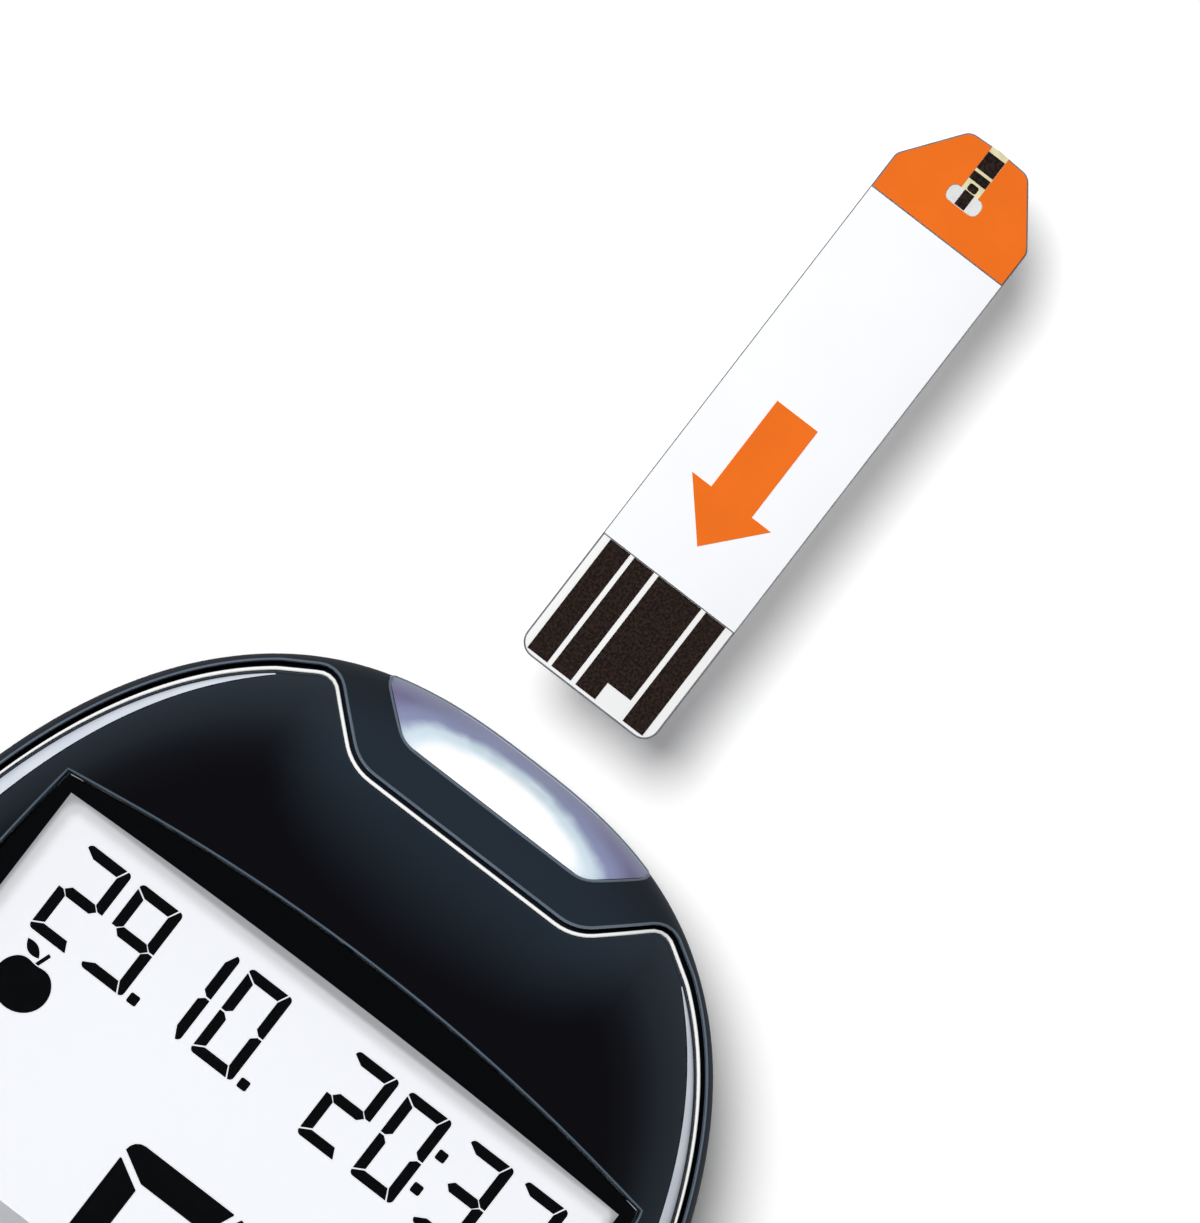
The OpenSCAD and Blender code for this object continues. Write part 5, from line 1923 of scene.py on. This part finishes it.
@dataclass(frozen=True)
class Strip(Piece):
    """The test strip, from its contacts to its sampling tip.

    Lengths run from the contact end. The tracks and the notch's start are shares of
    the width. The vent has a place, a width and a depth, an electrode its two ends,
    its width and its rounding, and the arrow its tip, the ends of its head and
    shaft, and the half widths of both.
    """

    width: float = 9.8
    length: float = 40.6
    contacts: float = 8.4
    tip: float = 6.2
    corner_r: float = 1.05
    shoulder: float = 3.8
    blunt: float = 2.15
    dome: float = 0.12
    tip_round: tuple[float, float] = (0.8, 0.9)
    tracks: tuple[tuple[float, float], ...] = ((0.06, 0.21), (0.242, 0.39), (0.425, 0.75), (0.785, 0.935))
    track_edge: float = 0.3
    notched: int = 2
    notch: tuple[float, float] = (0.575, 1.24)
    channel: float = 1.24
    channel_start: float = 35.95
    channel_end: float = 0.03
    electrodes: tuple[tuple[float, float, float, float], ...] = (
        (39.0, 40.2, 1.2, 0.02), (38.26, 38.81, 1.2, 0.02), (37.62, 38.1, 0.64, 0.14),
        (36.5, 37.56, 0.7, 0.02))
    vent: tuple[float, float, float] = (37.0, 2.35, 1.1)
    vent_r: float = 0.45
    base_edge: float = 0.11
    cover_edge: float = 0.065
    tip_inset: float = 0.09
    layer_gap: float = 0.01
    fit: float = 0.02
    ink: float = 0.035
    arrow_sizes: tuple[float, float, float, float, float] = (11.16, 14.48, 20.88, 2.94, 1.51)

    @property
    def start(self) -> float:
        """Where the contact end lies."""
        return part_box("strip_base")[0].y / MM

    def placed(self, path: Path) -> Path:
        """A path drawn from the contact end, moved to its place."""
        return [flat(p.x, p.y + self.start) for p in path]

    def across(self, share: float) -> float:
        """The x at a share of the strip's width."""
        return (share - 0.5) * self.width

    def outline(self, inset: float = 0.0) -> Path:
        """The strip's edge: rounded contacts, straight sides and a blunt tip."""
        w, r, tip_y, blunt = self.width / 2, self.corner_r, self.length, self.blunt
        shoulder_y, blunt_y = tip_y - self.shoulder, tip_y - self.dome
        first, last = self.tip_round
        edge = rounded([(-w, 0, r), (w, 0, r), (w, shoulder_y, first), (blunt, blunt_y, last), (0, tip_y, 0),
                        (-blunt, blunt_y, last), (-w, shoulder_y, first)], 8)
        return grown(edge, -inset)

    def between(self, low: float, high: float, inset: float = 0.0) -> Path:
        """A part of the strip.

        Args:
            low: Where it starts, from the contact end.
            high: Where it ends. Past the strip's length it takes in the tip.
            inset: How far it is drawn in.

        Returns:
            The closed path.
        """
        w = self.width / 2 - inset
        middle = [p for p in self.outline(inset) if low < p.y < high]
        if high >= self.length:
            right = [p for p in middle if p.x >= -TINY]
            left = [p for p in middle if p.x < -TINY]
            right.sort(key=lambda p: (p.y, -p.x))
            left.sort(key=lambda p: (-p.y, p.x))
            return [flat(-w, low), flat(w, low)] + right + left
        return [flat(-w, low), flat(w, low), flat(w, high), flat(-w, high)]

    def layer(self, path: Path, node: str, name: str, finish: Finish, slot: str, edge: float = 0.0) -> None:
        """One layer of the strip in the place of its node."""
        bm = column(self.placed(path), *span(node), edge, 2)
        # Bevelled layers get painted shade on their sides.
        self.put(bm, name, Body.STRIP, finish, slot, node, cut=SIDE_SHADE if edge > 0 else None)

    def conductors(self) -> None:
        """The four carbon tracks, the widest with a corner left out."""
        low, high = span("strip_tracks")
        near, far = self.track_edge, self.contacts - self.fit
        shapes = []
        for k, (left, right) in enumerate(self.tracks):
            x0, x1 = self.across(left), self.across(right)
            shape = [flat(x0, near), flat(x1, near), flat(x1, far), flat(x0, far)]
            if k == self.notched:
                step_x, step_y = self.across(self.notch[0]), near + self.notch[1]
                shape = [flat(x0, near), flat(step_x, near), flat(step_x, step_y), flat(x1, step_y),
                         flat(x1, far), flat(x0, far)]
            shapes.append(column(self.placed(shape), low, high))
        self.put(joined(*shapes), "carbon_tracks", Body.STRIP, CARBON, "strip_carbon", "strip_tracks")

    def vent_path(self, grow: float = 0.0) -> Path:
        """The rounded vent across the channel."""
        y, wide, deep = self.vent
        x, h = wide / 2 + grow, deep / 2 + grow
        r = self.vent_r
        return rounded([(-x, y - h, r), (x, y - h, r), (x, y + h, r), (-x, y + h, r)], 6)

    def cell(self) -> None:
        """The sample channel with its electrodes, and the vent across it."""
        low, high = span("strip_channel")
        half, start, end = self.channel / 2, self.channel_start, self.length - self.channel_end
        bed = [flat(-half, start), flat(half, start), flat(half, end), flat(-half, end)]
        self.layer(bed, "strip_channel", "sample_channel", CREAM, "strip_cream")
        vent = column(self.placed(self.vent_path(-self.fit)), low - self.fit, high + self.layer_gap)
        self.put(vent, "sample_vent", Body.STRIP, VENT, "strip_film")
        shapes = []
        for y0, y1, wide, r in self.electrodes:
            path = rounded([(-wide / 2, y0, r), (wide / 2, y0, r), (wide / 2, y1, r), (-wide / 2, y1, r)], 4)
            shapes.append(column(self.placed(path), high, high + self.ink))
        self.put(joined(*shapes), "electrodes", Body.STRIP, CARBON, "strip_carbon")

    def arrow(self) -> None:
        """The arrow that points to the contacts."""
        tip, head, end, wide, shaft = self.arrow_sizes
        path = [flat(0, tip), flat(wide, head), flat(shaft, head), flat(shaft, end), flat(-shaft, end),
                flat(-shaft, head), flat(-wide, head)]
        self.layer(path, "strip_arrow", "printed_arrow", ORANGE, "strip_orange")

    def build(self) -> None:
        """Builds the strip's layers from the base up."""
        gap = self.layer_gap
        self.layer(self.outline(), "strip_base", "base_film", STRIP_BASE, "strip_white", edge=self.base_edge)
        self.conductors()
        seam = self.length - self.tip
        self.layer(self.between(self.contacts, seam - gap), "strip_cover", "cover_film", STRIP_FILM,
                   "strip_film", edge=self.cover_edge)
        half = self.channel / 2
        vent_y, end = self.vent[0], self.length + PAST
        opening = [flat(-half, vent_y), flat(half, vent_y), flat(half, end), flat(-half, end)]
        low, high = span("strip_tip")
        tip = column(self.placed(self.between(seam + gap, end, self.tip_inset)), low, high)
        tip = combined(tip, column(self.placed(opening), low - PAST, high + PAST), Cut.TAKE)
        vent = column(self.placed(self.vent_path()), low - 1.1 * PAST, high + 1.1 * PAST)
        tip = combined(tip, vent, Cut.TAKE)
        # The tip's sides get the same painted shade.
        self.put(tip, "orange_tip", Body.STRIP, ORANGE, "strip_orange", "strip_tip", cut=SIDE_SHADE)
        self.cell()
        self.arrow()


# ---- Stage ----


@dataclass(frozen=True)
class Stage:
    """The pale floor, the soft lamp, the studio round them and the camera.

    The camera looks at the target from straight above, and the frame's height is
    measured in a plane at the strip's height. up_image is the way on the plan that
    points up in the render. The key lamp's size, distance and tilt from upright are
    in millimetres and degrees, and its power in watts.
    """

    target: tuple[float, float] = (-2.2, 53.5)
    plane_z: float = 15.0
    frame_height: float = 71.94
    lens: float = 300.0
    sensor: float = 36.0
    up_image: tuple[float, float] = (-0.6107, 0.7919)
    key_side: tuple[float, float] = (0.91, 0.41)
    key_tilt: float = 15.5
    key_size: float = 1120.0
    key_distance: float = 3000.0
    key_power: float = 84.0
    floor_reach: float = 600.0
    world_level: float = 0.17
    below_level: float = 1.3
    floor_tone: float = 0.95
    floor_roughness: float = 0.9
    floor_glow: float = 0.07

    def floor(self) -> None:
        """A pale floor that shows as the white background and keeps shadows.

        Light passes through it, so that the meter's back is lit from below too.
        """
        bm = bmesh.new()
        bmesh.ops.create_grid(bm, x_segments=1, y_segments=1, size=self.floor_reach * MM)
        mesh = bpy.data.meshes.new("floor")
        bm.to_mesh(mesh)
        bm.free()
        mesh.materials.append(self.paper())
        floor = bpy.data.objects.new("floor", mesh)
        bpy.context.scene.collection.objects.link(floor)

    def paper(self) -> bpy.types.Material:
        """The floor's material, which only the camera sees, and only from above."""
        material = bpy.data.materials.new("floor_paper")
        nodes = Nodes(material)
        shader = nodes.shader.inputs
        shader["Base Color"].default_value = (*[self.floor_tone] * 3, 1)
        shader["Roughness"].default_value = self.floor_roughness
        shader["Specular IOR Level"].default_value = 0.0
        shader["Emission Color"].default_value = (1, 1, 1, 1)
        shader["Emission Strength"].default_value = self.floor_glow
        from_camera = nodes.add("ShaderNodeLightPath").outputs["Is Camera Ray"]
        from_below = nodes.add("ShaderNodeNewGeometry").outputs["Backfacing"]
        mix = nodes.add("ShaderNodeMixShader")
        nodes.link(nodes.sum("SUBTRACT", from_camera, from_below), mix.inputs[0])
        nodes.link(nodes.add("ShaderNodeBsdfTransparent").outputs[0], mix.inputs[1])
        nodes.link(nodes.shader.outputs[0], mix.inputs[2])
        out = next(n for n in nodes.tree.nodes if n.type == "OUTPUT_MATERIAL")
        nodes.link(mix.outputs[0], out.inputs["Surface"])
        return material

    def lamp(self) -> None:
        """A soft round key lamp, up and left for the camera, which doesn't show in glossy surfaces."""
        up = Vector((*self.up_image, 0))
        right = Vector((up.y, -up.x, 0))
        target = Vector((*self.target, self.plane_z))
        tilt = math.radians(self.key_tilt)
        to_top, to_left = self.key_side
        side = (up * to_top - right * to_left).normalized()
        way = UP * math.cos(tilt) + side * math.sin(tilt)
        data = bpy.data.lights.new("key_lamp", "AREA")
        data.shape, data.size, data.energy = "DISK", self.key_size * MM, self.key_power
        lamp = bpy.data.objects.new("key_lamp", data)
        bpy.context.scene.collection.objects.link(lamp)
        lamp.location = (target + way * self.key_distance) * MM
        lamp.rotation_mode = "QUATERNION"
        lamp.rotation_quaternion = (way * -self.key_distance).to_track_quat("-Z", "Y")
        lamp.visible_camera = lamp.visible_glossy = lamp.visible_transmission = False

    def world(self) -> None:
        """White for the camera, a dark studio for gloss, and else a light that is stronger from below."""
        world = bpy.data.worlds.new("studio")
        bpy.context.scene.world = world
        nodes = Nodes(world)
        height = nodes.parts(nodes.coordinates["Generated"])["Z"]
        walls = nodes.ramp(height, (0.0, (0.2, 0.225, 0.26)), (0.35, (0.2, 0.235, 0.28)),
                           (0.7, (0.12, 0.145, 0.18)), (0.93, (0.072, 0.087, 0.107)),
                           (0.995, (0.045, 0.05, 0.06)), blend="LINEAR")
        light = nodes.spread(height, self.below_level, self.world_level, -1.0, 0.0)
        ray = nodes.add("ShaderNodeLightPath").outputs
        polished = nodes.sum("MAXIMUM", ray["Is Glossy Ray"], ray["Is Transmission Ray"])
        seen = nodes.mixed(ray["Is Camera Ray"], nodes.mixed(polished, light, walls), (1.0, 1.0, 1.0))
        nodes.link(seen, nodes.shader.inputs["Color"])
        nodes.shader.inputs["Strength"].default_value = 1.0

    def camera(self) -> None:
        """A long lens straight above, turned so that the strip runs to the upper right."""
        data = bpy.data.cameras.new("camera")
        data.lens, data.sensor_width = self.lens, self.sensor
        camera = bpy.data.objects.new("camera", data)
        bpy.context.scene.collection.objects.link(camera)
        distance = self.frame_height * self.lens / self.sensor
        up = Vector((*self.up_image, 0)).normalized()
        right = up.cross(UP)
        turn = Matrix((right, up, UP)).transposed()
        place = Vector((*self.target, self.plane_z + distance)) * MM
        camera.matrix_world = Matrix.Translation(place) @ turn.to_4x4()
        data.clip_start, data.clip_end = 0.05, 20.0
        bpy.context.scene.camera = camera

    def build(self) -> None:
        """Sets the stage."""
        self.floor()
        self.lamp()
        self.world()
        self.camera()
        view = bpy.context.scene.view_settings
        view.view_transform = "Standard"


def main() -> None:
    """Builds the meter, the strip and the stage."""
    logging.basicConfig(level=logging.INFO, format="%(name)s: %(message)s")
    form = Form(top=span("face_panel")[1])
    face = FacePlan(form)
    Stage().build()
    for assembly in (Housing(form, face), Door(form), FaceTop(form, face), Display(face), Keys(face),
                     Port(form, face), Inside(), Strip()):
        assembly.build()


if __name__ == "__main__":
    main()
